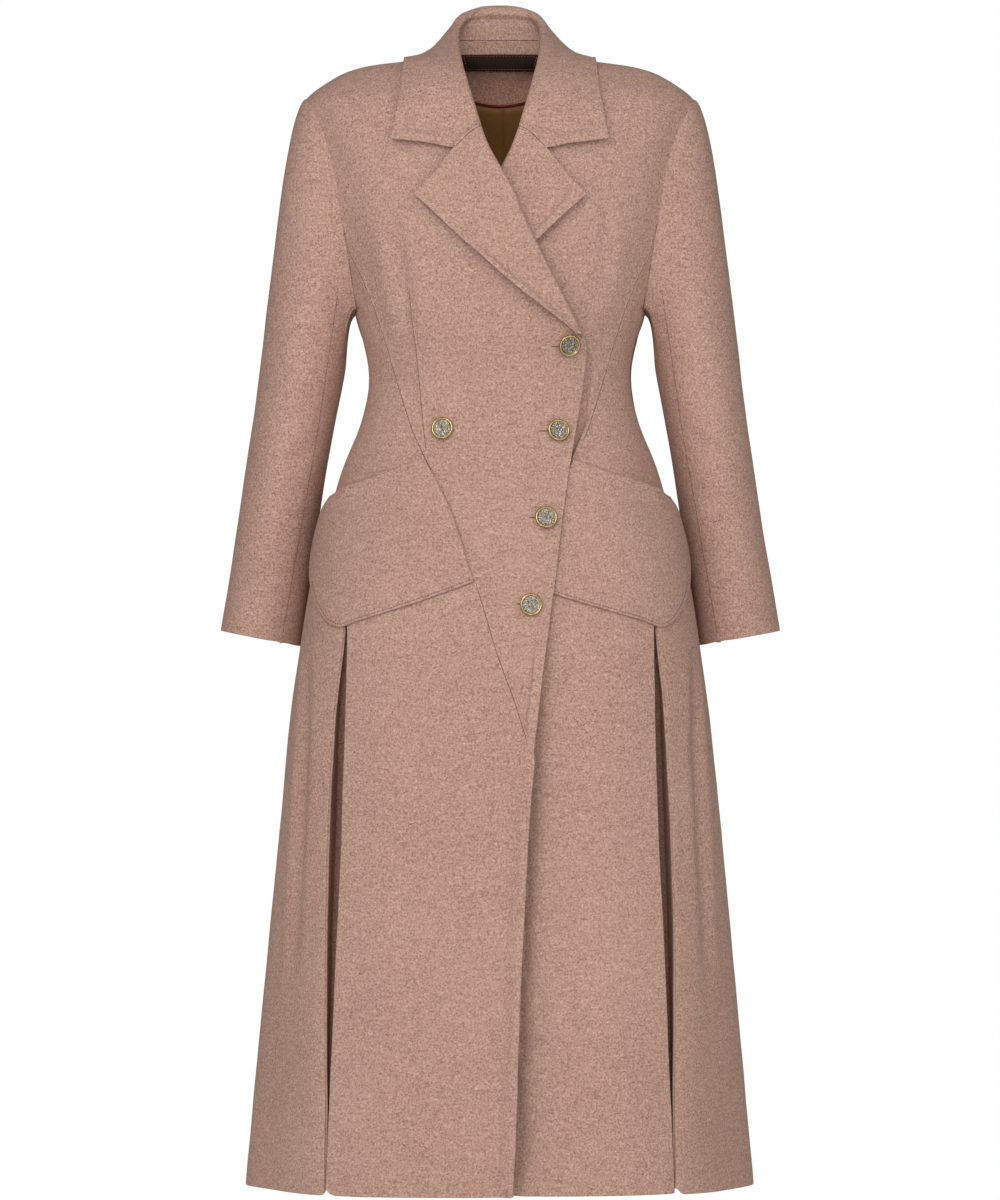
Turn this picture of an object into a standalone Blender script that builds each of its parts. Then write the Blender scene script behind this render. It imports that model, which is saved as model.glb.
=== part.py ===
"""A women's flared wool coat in worn form, hollow, with a notched collar, hip pockets and pleats.

Metres, +Z up. The coat faces -Y and the wearer's right is at -X. The origin is the middle of the
neck base, at the height where the shoulder seams meet the neck.
"""

import math

import bmesh
import bpy
import numpy as np

# Cloth walls and the gaps between pieces
WALL = 0.0025
LAPEL_WALL = 0.0030
FACING_WALL = 0.0015
LINING_WALL = 0.0010
LABEL_WALL = 0.0008
LABEL_DROP = 0.083
# The label's rows: half width, height at the middle, and how far back it lies from the middle outward
LABEL_ROWS = (
    (0.0420, 0.0114, (0.0663, 0.0656, 0.0635, 0.0598, 0.0550)),
    (0.0400, 0.0025, (0.0681, 0.0675, 0.0655, 0.0622, 0.0577)),
    (0.0380, -0.0064, (0.0713, 0.0710, 0.0700, 0.0685, 0.0664)),
)
SEAM_GAP = 0.0003
LAYER_GAP = 0.0009

# Heights and angles that several pieces share
HEM = -1.197
UNDERLAP_HEM = -1.196
NECK_SIDE = 0.006
NECK_BACK = 0.011
SHOULDER_TIP = -0.041
ARMPIT = -0.273
GORGE = -0.0765
NOTCH = -0.0997
LAPEL_TIP = -0.1503
BREAK = -0.302
SEAM_END = -0.735
SIDE_SEAM = math.radians(95)

# Folds
ROLL_RADIUS = 0.0042
PLEAT_RADIUS = 0.0032
PLEAT_LEAN = math.radians(15)
PLEAT_SIDE_LEAN = math.radians(40)
PLEAT_BEND = 0.0030

# Pockets
POCKET_WALL = 0.0025
POCKET_STAND_OFF = 0.0080

# Buttons
BUTTON_RADIUS = 0.0118
BUTTON_SHANK = 0.0040
BUTTON_HEIGHT = 0.0046

# Grid fineness
ARM_STEP = 20
FRONT_COLUMNS = 9
UNDERLAP_COLUMNS = 12
SIDE_COLUMNS = 6
SIDE_BODY_COLUMNS = 11
SKIRT_COLUMNS = 7
BACK_COLUMNS = 9

RIGHT = 1
LEFT = -1

# Rows where the diagonal seam's two sides meet, so that both follow it alike
SEAM_ROWS = (-0.266, -0.273, -0.2965, -0.302, -0.340, -0.380, -0.414, -0.447, -0.480, -0.514, -0.547)
SKIRT_SEAM_ROWS = (-0.600, -0.645, -0.690, -0.735)
# Rows where the side pieces meet the back, above and below the side body's lower end
HIP_ROWS = (-0.400, -0.418, -0.436, -0.453, -0.470)
SIDE_ROWS = (-0.537, -0.604, -0.670)
# Rows of the fronts and backs above the armpit: down the shoulder seam, and at the neck or the middle
SHOULDER_ROWS = (0.006, 0.001, -0.004, -0.010, -0.018, -0.027, -0.0345)
NECK_ROWS = (0.006, -0.005, -0.015, -0.025, -0.036, -0.047, -0.058, -0.0675, -0.078, -0.094, -0.115, -0.143)
MIDDLE_ROWS = (0.011, -0.001, -0.012, -0.022, -0.033, -0.044, -0.055, -0.066, -0.079, -0.096, -0.118, -0.146)
# Added rows, between those, where the left front turns down under the right one
UNDERLAP_ROWS = (8.5, 9.33, 9.67, 10.33, 10.67, 11.5)


class Sizes:
    """Rows of named sizes, read anywhere along the first column on a smooth or a straight line."""

    def __init__(self, names, *rows):
        self.names = names.split()
        self.rows = np.array(sorted(rows))

    def column(self, name):
        return self.rows[:, self.names.index(name)]

    def straight(self, name, place):
        return np.interp(place, self.rows[:, 0], self.column(name))

    def read(self, name, place):
        """A cubic through every row that never overshoots between two rows."""
        along = self.rows[:, 0]
        values = self.column(name)
        step = np.diff(along)
        rise = np.diff(values) / step
        slope = np.zeros(len(along))
        slope[0] = rise[0]
        slope[-1] = rise[-1]
        same = rise[1:] * rise[:-1] > 0
        low = np.where(same, rise[:-1], 1.0)
        high = np.where(same, rise[1:], 1.0)
        slope[1:-1] = np.where(same, 2.0 * low * high / (low + high), 0.0)
        place = np.clip(np.asarray(place, float), along[0], along[-1])
        spot = np.clip(np.searchsorted(along, place) - 1, 0, len(step) - 1)
        share = (place - along[spot]) / step[spot]
        back = 1.0 - share
        ends = values[spot] * (1.0 + 2.0 * share) * back**2
        ends = ends + values[spot + 1] * (3.0 - 2.0 * share) * share**2
        turns = slope[spot] * share * back**2 - slope[spot + 1] * share**2 * back
        return ends + turns * step[spot]


# The coat's sections: half width at the sides, and depth ahead of and behind the side line
BODY = Sizes(
    "height half_width front back centre squareness",
    (0.012, 0.060, 0.030, 0.060, 0.0140, 2.10),
    (0.006, 0.073, 0.036, 0.061, 0.0130, 2.10),
    (-0.001, 0.097, 0.043, 0.065, 0.0120, 2.15),
    (-0.005, 0.131, 0.050, 0.069, 0.0120, 2.20),
    (-0.012, 0.161, 0.060, 0.076, 0.0115, 2.25),
    (-0.025, 0.186, 0.076, 0.085, 0.0110, 2.30),
    (-0.041, 0.2060, 0.090, 0.093, 0.0100, 2.35),
    (-0.050, 0.2105, 0.095, 0.097, 0.0095, 2.37),
    (-0.066, 0.2095, 0.102, 0.102, 0.0090, 2.40),
    (-0.090, 0.2035, 0.109, 0.108, 0.0085, 2.40),
    (-0.116, 0.1965, 0.114, 0.113, 0.0080, 2.40),
    (-0.168, 0.1860, 0.120, 0.117, 0.0060, 2.40),
    (-0.228, 0.1690, 0.124, 0.114, 0.0040, 2.40),
    (-0.273, 0.1550, 0.121, 0.107, 0.0020, 2.40),
    (-0.308, 0.1450, 0.113, 0.098, 0.0000, 2.35),
    (-0.340, 0.1400, 0.106, 0.092, 0.0000, 2.30),
    (-0.383, 0.1470, 0.107, 0.096, 0.0000, 2.30),
    (-0.429, 0.1645, 0.115, 0.110, -0.0020, 2.30),
    (-0.449, 0.1715, 0.119, 0.118, -0.0030, 2.32),
    (-0.469, 0.1765, 0.124, 0.126, -0.0040, 2.35),
    (-0.529, 0.1965, 0.138, 0.143, -0.0060, 2.40),
    (-0.590, 0.2075, 0.148, 0.155, -0.0080, 2.40),
    (-0.680, 0.2215, 0.159, 0.166, -0.0060, 2.45),
    (-0.782, 0.2315, 0.169, 0.178, -0.0040, 2.50),
    (-0.905, 0.2425, 0.180, 0.192, -0.0020, 2.50),
    (-1.028, 0.2525, 0.191, 0.206, 0.0000, 2.50),
    (-1.197, 0.2680, 0.205, 0.224, 0.0000, 2.50),
)

# Soft folds of the skirt: degrees round from the front, their spread, and the rise at the hem
SKIRT_FOLDS = (
    {"at": 67.0, "spread": 8.0, "rise": -0.0070, "from": -0.60},
    {"at": 82.0, "spread": 9.0, "rise": 0.0040, "from": -0.62},
    {"at": 112.0, "spread": 9.0, "rise": -0.0100, "from": -0.60},
    {"at": 132.0, "spread": 11.0, "rise": 0.0090, "from": -0.56},
    {"at": 155.0, "spread": 9.0, "rise": -0.0110, "from": -0.58},
    {"at": 176.0, "spread": 10.0, "rise": 0.0060, "from": -0.60},
)

# Lines on the right front as seen from ahead, at each height
ROLL_LINE = Sizes(
    "height across",
    (-0.0765, -0.0200),
    (-0.0980, -0.0120),
    (-0.1208, 0.0007),
    (-0.1429, 0.0134),
    (-0.1640, 0.0220),
    (-0.1987, 0.0379),
    (-0.2198, 0.0484),
    (-0.2566, 0.0670),
    (-0.3020, 0.0900),
)
FRONT_EDGE = Sizes(
    "height across",
    (-0.3020, 0.0914),
    (-0.3533, 0.0854),
    (-0.4028, 0.0780),
    (-0.4547, 0.0700),
    (-0.5085, 0.0630),
    (-0.5705, 0.0560),
    (-0.6176, 0.0492),
    (-0.7177, 0.0376),
    (-0.7698, 0.0325),
    (-0.8967, 0.0254),
    (-1.0161, 0.0195),
    (-1.1970, 0.0125),
)
DIAGONAL_SEAM = Sizes(
    "height across",
    (-0.1771, -0.1659),
    (-0.2416, -0.1452),
    (-0.3008, -0.1247),
    (-0.3444, -0.1092),
    (-0.3804, -0.0985),
    (-0.4290, -0.0783),
    (-0.4862, -0.0508),
    (-0.5568, -0.0278),
    (-0.6005, -0.0141),
    (-0.6844, 0.0178),
    (-0.7350, 0.0346),
)
NECKLINE = Sizes(
    "height across",
    (0.0060, -0.0660),
    (0.0010, -0.0590),
    (-0.0080, -0.0540),
    (-0.0220, -0.0485),
    (-0.0400, -0.0420),
    (-0.0580, -0.0340),
    (-0.0765, -0.0262),
)
LAPEL_EDGE = Sizes(
    "height across",
    (-0.0765, -0.0200),
    (-0.0820, -0.0295),
    (-0.0910, -0.0390),
    (-0.0997, -0.0478),
    (-0.1265, -0.0665),
    (-0.1503, -0.0874),
    (-0.1777, -0.0600),
    (-0.1976, -0.0390),
    (-0.2356, 0.0030),
    (-0.2608, 0.0335),
    (-0.2819, 0.0620),
    (-0.3020, 0.0860),
)
ARMHOLE = Sizes(
    "height front_across back_across",
    (-0.0480, 0.2035, 0.2045),
    (-0.0681, 0.1930, 0.1960),
    (-0.0990, 0.1810, 0.1850),
    (-0.1370, 0.1725, 0.1775),
    (-0.1773, 0.1665, 0.1715),
    (-0.2150, 0.1605, 0.1650),
    (-0.2453, 0.1560, 0.1590),
    (-0.2660, 0.1530, 0.1545),
)
PLEAT = Sizes(
    "height across gap depth",
    (-0.585, 0.1588, 0.0024, 0.0090),
    (-0.604, 0.1590, 0.0036, 0.0110),
    (-0.641, 0.1592, 0.0082, 0.0200),
    (-0.683, 0.1599, 0.0136, 0.0270),
    (-0.725, 0.1605, 0.0160, 0.0315),
    (-0.788, 0.1627, 0.0177, 0.0345),
    (-0.841, 0.1643, 0.0178, 0.0350),
    (-0.946, 0.1690, 0.0136, 0.0345),
    (-1.052, 0.1732, 0.0085, 0.0335),
    (-1.104, 0.1754, 0.0047, 0.0325),
    (-1.157, 0.1776, 0.0027, 0.0320),
    (-1.197, 0.1790, 0.0008, 0.0320),
)
# The side body's lower edge, from the diagonal seam down to the pleat and up again behind the pocket
JOIN = Sizes(
    "degrees height",
    (12.45, -0.547),
    (62.00, -0.594),
    (95.00, -0.470),
)
# How far the left front lies under the right one, and how far past the edge it takes to rise again
UNDERLAP = Sizes(
    "height sink rise_run",
    (-0.0750, 0.0000, 0.030),
    (-0.0997, 0.0050, 0.038),
    (-0.1150, 0.0100, 0.050),
    (-0.1300, 0.0115, 0.062),
    (-0.2300, 0.0115, 0.080),
    (-0.3300, 0.0085, 0.075),
    (-0.4300, 0.0078, 0.080),
    (-0.6200, 0.0082, 0.085),
    (-0.7400, 0.0095, 0.095),
    (-1.1970, 0.0190, 0.130),
)

# Sleeve rings below the armpit, on the wearer's right
SLEEVE = Sizes(
    "height out back half_width half_depth tilt",
    (-0.3350, 0.2125, 0.020, 0.0455, 0.0640, 6.0),
    (-0.4250, 0.2272, 0.030, 0.0430, 0.0590, 8.0),
    (-0.4965, 0.2380, 0.037, 0.0430, 0.0550, 9.0),
    (-0.5757, 0.2502, 0.043, 0.0443, 0.0515, 10.0),
    (-0.6145, 0.2564, 0.046, 0.0450, 0.0500, 10.5),
)

# Stations of the collar, from the middle of the back round to the front of the neck: the roll's top,
# the neck seam and the edge (degrees round from the front, height, lift), and how far it bulges between
COLLAR = Sizes(
    "station across back height radius neck_degrees neck_height edge_degrees edge_height edge_lift bulge",
    (0, 0.0000, 0.080, 0.0655, 0.0058, 180, 0.0110, 180, -0.0140, 0.0100, 0.0030),
    (1, 0.0220, 0.078, 0.0635, 0.0058, 150, 0.0105, 152, -0.0130, 0.0100, 0.0020),
    (2, 0.0360, 0.066, 0.0555, 0.0056, 125, 0.0096, 128, -0.0070, 0.0080, -0.0005),
    (3, 0.0428, 0.042, 0.0415, 0.0052, 105, 0.0085, 110, -0.0014, 0.0055, -0.0020),
    (4, 0.0428, 0.008, 0.0215, 0.0050, 90, 0.0085, 92, -0.0010, 0.0050, -0.0020),
    (5, 0.0405, -0.030, 0.0015, 0.0048, 49, -0.0060, 72, -0.0045, 0.0048, 0.0010),
    (6, 0.0360, -0.066, -0.0200, 0.0046, 31, -0.0280, 59, -0.0200, 0.0046, 0.0035),
    (7, 0.0285, -0.088, -0.0480, 0.0044, 21, -0.0520, 51, -0.0450, 0.0045, 0.0040),
)
COLLAR_POINT = (-0.1116, -0.0905)
COLLAR_INNER_SHARE = 0.68
STAND_STATIONS = 4

# Button places on the right front: across, height, and the lift that just clears the cloth there
BUTTONS = (
    (0.0727, -0.3092, 0.0000),
    (0.0611, -0.3997, 0.0015),
    (0.0483, -0.4917, 0.0003),
    (0.0325, -0.5830, -0.0001),
    (-0.0601, -0.3975, 0.0009),
)

# The pocket's outer side: share of the way down and degrees round from the front
POCKET_SIDE = Sizes(
    "drop degrees",
    (0.00, 70.0),
    (0.05, 77.0),
    (0.13, 83.5),
    (0.26, 88.0),
    (0.42, 89.0),
    (0.56, 86.0),
    (0.67, 80.0),
    (0.77, 74.5),
    (0.85, 70.0),
    (0.92, 66.0),
    (0.97, 62.5),
    (1.00, 58.0),
)

COLOURS = {
    "wool": ((0.485, 0.305, 0.235), 0.95),
    "facing": ((0.430, 0.265, 0.200), 0.95),
    "lining": ((0.130, 0.075, 0.035), 0.45),
    "label": ((0.030, 0.018, 0.014), 0.80),
    "piping": ((0.075, 0.012, 0.014), 0.60),
    "button": ((0.640, 0.500, 0.280), 0.30),
}


def unit(vectors):
    return vectors / np.linalg.norm(vectors, axis=-1, keepdims=True)


def ease(share):
    share = np.clip(share, 0.0, 1.0)
    return share * share * (3.0 - 2.0 * share)


def skirt_folds(angle, height):
    degrees = np.degrees(np.abs(angle))
    total = np.zeros(np.broadcast(angle, height).shape)
    for fold in SKIRT_FOLDS:
        grown = ease((fold["from"] - height) / (fold["from"] - HEM))
        total = total + fold["rise"] * grown * np.exp(-(((degrees - fold["at"]) / fold["spread"]) ** 2))
    return total


def body(angle, height):
    """The coat's outer surface, at an angle round from the front and a height."""
    angle, height = np.broadcast_arrays(np.asarray(angle, float), np.asarray(height, float))
    width = BODY.read("half_width", height)
    depth = np.where(np.cos(angle) > 0.0, BODY.read("front", height), BODY.read("back", height))
    power = BODY.read("squareness", height)
    across = np.abs(np.sin(angle) / width) ** power
    along = np.abs(np.cos(angle) / depth) ** power
    reach = (across + along) ** (-1.0 / power) + skirt_folds(angle, height)
    back = BODY.read("centre", height) - reach * np.cos(angle)
    return np.stack([reach * np.sin(angle), back, height], -1)


def normals(surface, angle, height):
    turn = 1e-4
    rise = 1e-4
    around = surface(angle + turn, height) - surface(angle - turn, height)
    upward = surface(angle, height + rise) - surface(angle, height - rise)
    return unit(np.cross(around, upward))


def lifted(angle, height, lift):
    """Points moved out from the coat's surface by a lift."""
    angle, height, lift = np.broadcast_arrays(np.asarray(angle, float), height, lift)
    return body(angle, height) + lift[..., None] * normals(body, angle, height)


def front_angle(across, height):
    """The angle of the point ahead of the side line that lies at this distance across."""
    width = BODY.read("half_width", height)
    power = BODY.read("squareness", height)
    share = np.clip(np.abs(across) / width, 0.0, 0.99999) ** power
    ahead = BODY.read("front", height) * (1.0 - share) ** (1.0 / power)
    return np.arctan2(across, ahead)


def back_angle(across, height):
    """The same behind the side line, on the wearer's right."""
    width = BODY.read("half_width", height)
    power = BODY.read("squareness", height)
    share = np.clip(np.abs(across) / width, 0.0, 0.99999) ** power
    behind = BODY.read("back", height) * (1.0 - share) ** (1.0 / power)
    return -np.pi + np.arctan2(np.abs(across), behind)


def along_body(angle, height, run):
    """The angle reached by going a run of cloth round the coat, from the front toward the side."""
    turn = 1e-4
    pace = np.linalg.norm(body(angle + turn, height) - body(angle - turn, height), axis=-1) / (2 * turn)
    return angle - run / pace


def lap_edge(height):
    """Where the right front ends over the left one: the roll line, then the front edge."""
    return np.where(height > BREAK, ROLL_LINE.read("across", height), FRONT_EDGE.read("across", height))


def underlap(angle, height):
    """The left front's surface, sunk below the right front where that covers it."""
    points = body(angle, height)
    run = UNDERLAP.read("rise_run", height)
    share = ease((lap_edge(height) + run - points[..., 0]) / run)
    sink = UNDERLAP.read("sink", height) * share * (height < UNDERLAP.column("height")[-1])
    return points - sink[..., None] * normals(body, angle, height)


def front_surface(side):
    return body if side == RIGHT else underlap


def mirrored(points):
    return points * np.array([-1.0, 1.0, 1.0])


# Building the solids


def material(name):
    found = bpy.data.materials.get(name)
    if found:
        return found
    colour, roughness = COLOURS[name]
    made = bpy.data.materials.new(name)
    made.use_nodes = True
    shader = made.node_tree.nodes["Principled BSDF"]
    shader.inputs["Base Color"].default_value = (*colour, 1.0)
    shader.inputs["Roughness"].default_value = roughness
    shader.inputs["Metallic"].default_value = 1.0 if name == "button" else 0.0
    made.diffuse_color = (*colour, 1.0)
    return made


def add_object(name, shape, kind):
    made = bpy.data.objects.new(name, shape)
    made.data.materials.append(material(kind))
    bpy.data.collections["wool_coat"].objects.link(made)
    return made


def add_wall(name, outer, inner, kind="wool"):
    """A closed wall between two grids of points that lie face to face."""
    rows, columns = outer.shape[:2]
    shell = bmesh.new()
    faces = [[[shell.verts.new(point) for point in row] for row in skin] for skin in (outer, inner)]
    for skin in faces:
        for row in range(rows - 1):
            for column in range(columns - 1):
                near = skin[row][column : column + 2]
                far = skin[row + 1][column : column + 2]
                shell.faces.new(near + far[::-1])
    rim = [(0, column) for column in range(columns)]
    rim += [(row, columns - 1) for row in range(1, rows)]
    rim += [(rows - 1, column) for column in range(columns - 2, -1, -1)]
    rim += [(row, 0) for row in range(rows - 2, 0, -1)]
    for (row, column), (next_row, next_column) in zip(rim, rim[1:] + rim[:1]):
        near = (faces[0][row][column], faces[0][next_row][next_column])
        far = (faces[1][next_row][next_column], faces[1][row][column])
        shell.faces.new(near + far)
    bmesh.ops.recalc_face_normals(shell, faces=shell.faces)
    shape = bpy.data.meshes.new(name)
    shell.to_mesh(shape)
    shell.free()
    return add_object(name, shape, kind)


def add_panel(name, surface, side, angle, height, wall=WALL, kind="wool"):
    """A wall whose outer face lies on a surface; the angles are those of the wearer's right."""
    outer = surface(angle * side, height)
    inner = outer - wall * normals(surface, angle * side, height)
    return add_wall(name, outer, inner, kind)


def add_folded(name, outer, wall, towards):
    """A wall on a hand-laid grid; its visible face is the one turned to the given direction."""
    along = np.gradient(outer, axis=0)
    across = np.gradient(outer, axis=1)
    facing = unit(np.cross(along, across))
    middle = facing[outer.shape[0] // 2, outer.shape[1] - 2]
    if np.dot(middle, towards) < 0.0:
        facing = -facing
    return add_wall(name, outer, outer - wall * facing)


def half_gap_turn(angle, height):
    """The turn that moves a point of the surface by half the seam gap."""
    reach = body(angle, height)
    reach[..., 1] -= BODY.read("centre", height)
    return SEAM_GAP / 2 / np.linalg.norm(reach[..., :2], axis=-1)


def sheet_grid(first_angle, first_height, last_angle, last_height, columns):
    """Angles and heights across a sheet, with each side drawn in by half the seam gap."""
    share = np.linspace(0.0, 1.0, columns)
    way = np.sign(last_angle - first_angle)
    first_angle = first_angle + way * half_gap_turn(first_angle, first_height)
    last_angle = last_angle - way * half_gap_turn(last_angle, last_height)
    angle = first_angle[:, None] * (1.0 - share) + last_angle[:, None] * share
    height = first_height[:, None] * (1.0 - share) + last_height[:, None] * share
    return angle, height


def trim_ends(height, top=True, bottom=True):
    """Draws the first and last rows in by half the seam gap."""
    height = height.copy()
    if top:
        height[0] -= SEAM_GAP / 2
    if bottom:
        height[-1] += SEAM_GAP / 2
    return height


# The armhole is met by the sleeve at the same points as by the body pieces
ARM_ANGLES = np.radians(np.arange(0, 181, ARM_STEP))
ARM_HEIGHTS = SHOULDER_TIP + (ARMPIT - SHOULDER_TIP) * (1.0 - np.cos(ARM_ANGLES)) / 2


def armhole_angle(height, behind=False):
    """The armhole's angle on the wearer's right, ahead of or behind the side."""
    if height > SHOULDER_TIP - 1e-6:
        return -math.pi / 2
    if height < ARMPIT + 1e-6:
        return -SIDE_SEAM
    if behind:
        return float(back_angle(ARMHOLE.read("back_across", height), height))
    return float(front_angle(-ARMHOLE.read("front_across", height), height))


def front_outer_angle(height):
    """The right front's side away from the opening: shoulder, armhole, diagonal seam."""
    if height > DIAGONAL_SEAM.rows[-1, 0] + 0.001:
        return armhole_angle(height)
    return float(front_angle(DIAGONAL_SEAM.read("across", height), height))


def front_inner_across(height):
    """The right front's side at the opening: neckline, behind the roll, front edge."""
    if height >= GORGE:
        return NECKLINE.read("across", height)
    if height > BREAK + 0.004:
        return ROLL_LINE.read("across", height) - ROLL_RADIUS - 0.0014
    return FRONT_EDGE.read("across", height)


def add_fronts():
    """Rows run from the shoulder and armhole to the opening, lower there than at the shoulder."""
    seam = list(SEAM_ROWS + SKIRT_SEAM_ROWS)
    outer_height = np.array([*SHOULDER_ROWS, *[height for height in ARM_HEIGHTS if height > -0.26], *seam])
    inner_height = outer_height.copy()
    inner_height[: len(NECK_ROWS)] = NECK_ROWS
    outer = np.array([front_outer_angle(place) for place in outer_height])
    plain = np.arange(len(outer), dtype=float)
    fuller = np.sort(np.append(plain, UNDERLAP_ROWS))
    for name, surface, side, rows, columns in (
        ("right_front", body, RIGHT, plain, FRONT_COLUMNS),
        ("left_front", underlap, LEFT, fuller, UNDERLAP_COLUMNS),
    ):
        high = np.interp(rows, plain, outer_height)
        low = np.interp(rows, plain, inner_height)
        inner = front_angle(np.array([front_inner_across(place) for place in low]), low)
        angle, grid = sheet_grid(np.interp(rows, plain, outer), high, inner, low, columns)
        add_panel(name, surface, side, angle, grid)


def add_side_bodies():
    armhole = [height for height in ARM_HEIGHTS if -0.26 < height < -0.17]
    inner_height = np.array(armhole + list(SEAM_ROWS))
    middle_height = inner_height.copy()
    middle_height[-5:] = [-0.420, -0.462, -0.504, -0.549, JOIN.rows[1, 1]]
    outer_height = inner_height.copy()
    outer_height[-5:] = HIP_ROWS
    outer = np.array([armhole_angle(height) for height in outer_height])
    inner = front_angle(DIAGONAL_SEAM.read("across", inner_height), inner_height)
    angle, grid = sheet_grid(outer, outer_height, inner, inner_height, SIDE_BODY_COLUMNS)
    corner = -math.radians(JOIN.rows[1, 0])
    for row in range(len(grid) - 5, len(grid)):
        places = [angle[row, 0], corner, angle[row, -1]]
        grid[row] = np.interp(angle[row], places, [outer_height[row], middle_height[row], inner_height[row]])
    grid = trim_ends(grid, top=False)
    add_panel("right_side_body", body, RIGHT, angle, grid)
    add_panel("left_side_body", underlap, LEFT, angle, grid)


def skirt_heights(hem):
    lower = [-0.780, -0.840, -0.910, -0.980, -1.050, -1.110, -1.160, hem]
    inner = np.array([SEAM_ROWS[-1], *SKIRT_SEAM_ROWS, *lower])
    outer = np.array([-0.594, -0.622, -0.655, -0.695, -0.737, *lower])
    return outer, inner


def pleat_angle(height):
    return front_angle(-PLEAT.read("across", height), height)


def local_point(angle, height, run, lift, side):
    """A point a run toward the side from an angle on the wearer's right, lifted from the surface."""
    reached = along_body(angle, height, run)
    if side == RIGHT:
        return lifted(reached, height, lift)
    return lifted(-reached, height, lift)


def add_skirt_front(name, side, hem):
    outer_height, inner_height = skirt_heights(hem)
    outer_height[0] = JOIN.straight("height", 1.5 - math.degrees(pleat_angle(outer_height[0])))
    seam = DIAGONAL_SEAM.read("across", inner_height)
    edge = FRONT_EDGE.read("across", inner_height)
    inner = front_angle(np.where(inner_height > SEAM_END - 1e-6, seam, edge), inner_height)
    fold = pleat_angle(outer_height)
    share = np.linspace(0.0, 1.0, SKIRT_COLUMNS)
    angle = (inner - half_gap_turn(inner, inner_height))[:, None] * (1.0 - share) + fold[:, None] * share
    height = inner_height[:, None] * (1.0 - share) + outer_height[:, None] * share
    height = trim_ends(height, bottom=False)
    surface = front_surface(side)
    flat = surface(angle * side, height)
    flat_normal = normals(surface, angle * side, height)
    turn = np.radians([60.0, 22.0, -math.degrees(PLEAT_LEAN)])
    depth = PLEAT.read("depth", outer_height)
    run = [PLEAT_RADIUS * np.cos(turn)[None, :].repeat(len(depth), 0)]
    lift = [PLEAT_RADIUS * (np.sin(turn) - 1.0)[None, :].repeat(len(depth), 0)]
    way = np.tile(turn, (len(depth), 1))
    reach = np.linspace(0.0, 1.0, 3)[None, 1:] * depth[:, None]
    run.append(run[0][:, -1:] - reach * math.sin(PLEAT_LEAN))
    lift.append(lift[0][:, -1:] - reach * math.cos(PLEAT_LEAN))
    way = np.concatenate([way, np.full(reach.shape, -PLEAT_LEAN)], 1)
    run = np.concatenate(run, 1)
    lift = np.concatenate(lift, 1)
    edge_height = height[:, -1:] + 0.0 * run
    edge_angle = fold[:, None] + 0.0 * run
    turned = local_point(edge_angle, edge_height, run, lift, side)
    under = local_point(edge_angle, edge_height, run - WALL * np.cos(way), lift - WALL * np.sin(way), side)
    outer = np.concatenate([flat, turned], 1)
    inside = np.concatenate([flat - WALL * flat_normal, under], 1)
    add_wall(name, outer, inside)


def pleat_profile(depth, gap):
    """The skirt side's run, lift and direction across the pleat: its floor, a bend, and its own fold."""
    floor = depth - PLEAT_BEND
    start = PLEAT_RADIUS * math.cos(PLEAT_LEAN) - floor * math.sin(PLEAT_LEAN) + LAYER_GAP
    low = -PLEAT_RADIUS * (1.0 + math.sin(PLEAT_LEAN)) - floor * math.cos(PLEAT_LEAN)
    lean_across, lean_down = math.sin(PLEAT_SIDE_LEAN), math.cos(PLEAT_SIDE_LEAN)
    crest = 2 * PLEAT_RADIUS + gap
    room = -PLEAT_RADIUS * (1.0 + lean_across) - low
    bend = np.minimum(PLEAT_BEND, 0.35 * room / (1.0 + lean_across))
    length = (room - bend * (1.0 + lean_across)) / lean_down
    foot = crest - (PLEAT_RADIUS + bend) * lean_down + length * lean_across
    run = [start, 0.5 * (start + foot), foot]
    lift = [low, low, low]
    way = [0.0, 0.0, 0.0]
    for turn in (math.pi / 4 - PLEAT_SIDE_LEAN, PLEAT_SIDE_LEAN):
        run.append(foot + bend * math.cos(turn))
        lift.append(low + bend * (1.0 + math.sin(turn)))
        way.append(turn + math.pi / 2)
    for turn in np.linspace(math.pi + PLEAT_SIDE_LEAN, math.pi / 2, 4):
        run.append(crest + PLEAT_RADIUS * math.cos(turn))
        lift.append(PLEAT_RADIUS * (math.sin(turn) - 1.0) + 0.0 * gap)
        way.append(turn - math.pi / 2)
    return np.stack(run, 1), np.stack(lift, 1), np.array(way)


def add_skirt_side(name, side):
    """From the floor of the pleat, back round its own fold, to the side seam."""
    height = skirt_heights(HEM)[0]
    side_height = height.copy()
    side_height[:4] = [HIP_ROWS[-1], *SIDE_ROWS]
    fold = pleat_angle(height)
    run, lift, way = pleat_profile(PLEAT.read("depth", height), PLEAT.read("gap", height))
    rows = trim_ends(height[:, None] + 0.0 * run, bottom=False)
    start = fold[:, None] + 0.0 * run
    pleat = local_point(start, rows, run, lift, side)
    back = local_point(start, rows, run + WALL * np.sin(way), lift - WALL * np.cos(way), side)
    last = along_body(start[:, -1], rows[:, -1], run[:, -1])
    seam = -SIDE_SEAM + SEAM_GAP / 2 / 0.2
    corner = -math.radians(JOIN.rows[1, 0])
    share = np.linspace((corner - last[0]) / (seam - last[0]), 1.0, SIDE_COLUMNS)
    angle = last[:, None] * (1.0 - share) + seam * share
    rise = np.linspace(0.0, 1.0, SIDE_COLUMNS)
    level = height[:, None] * (1.0 - rise) + side_height[:, None] * rise
    level[0] -= LAYER_GAP
    flat = body(angle * side, level)
    flat_back = flat - WALL * normals(body, angle * side, level)
    add_wall(name, np.concatenate([pleat, flat], 1), np.concatenate([back, flat_back], 1))


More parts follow.
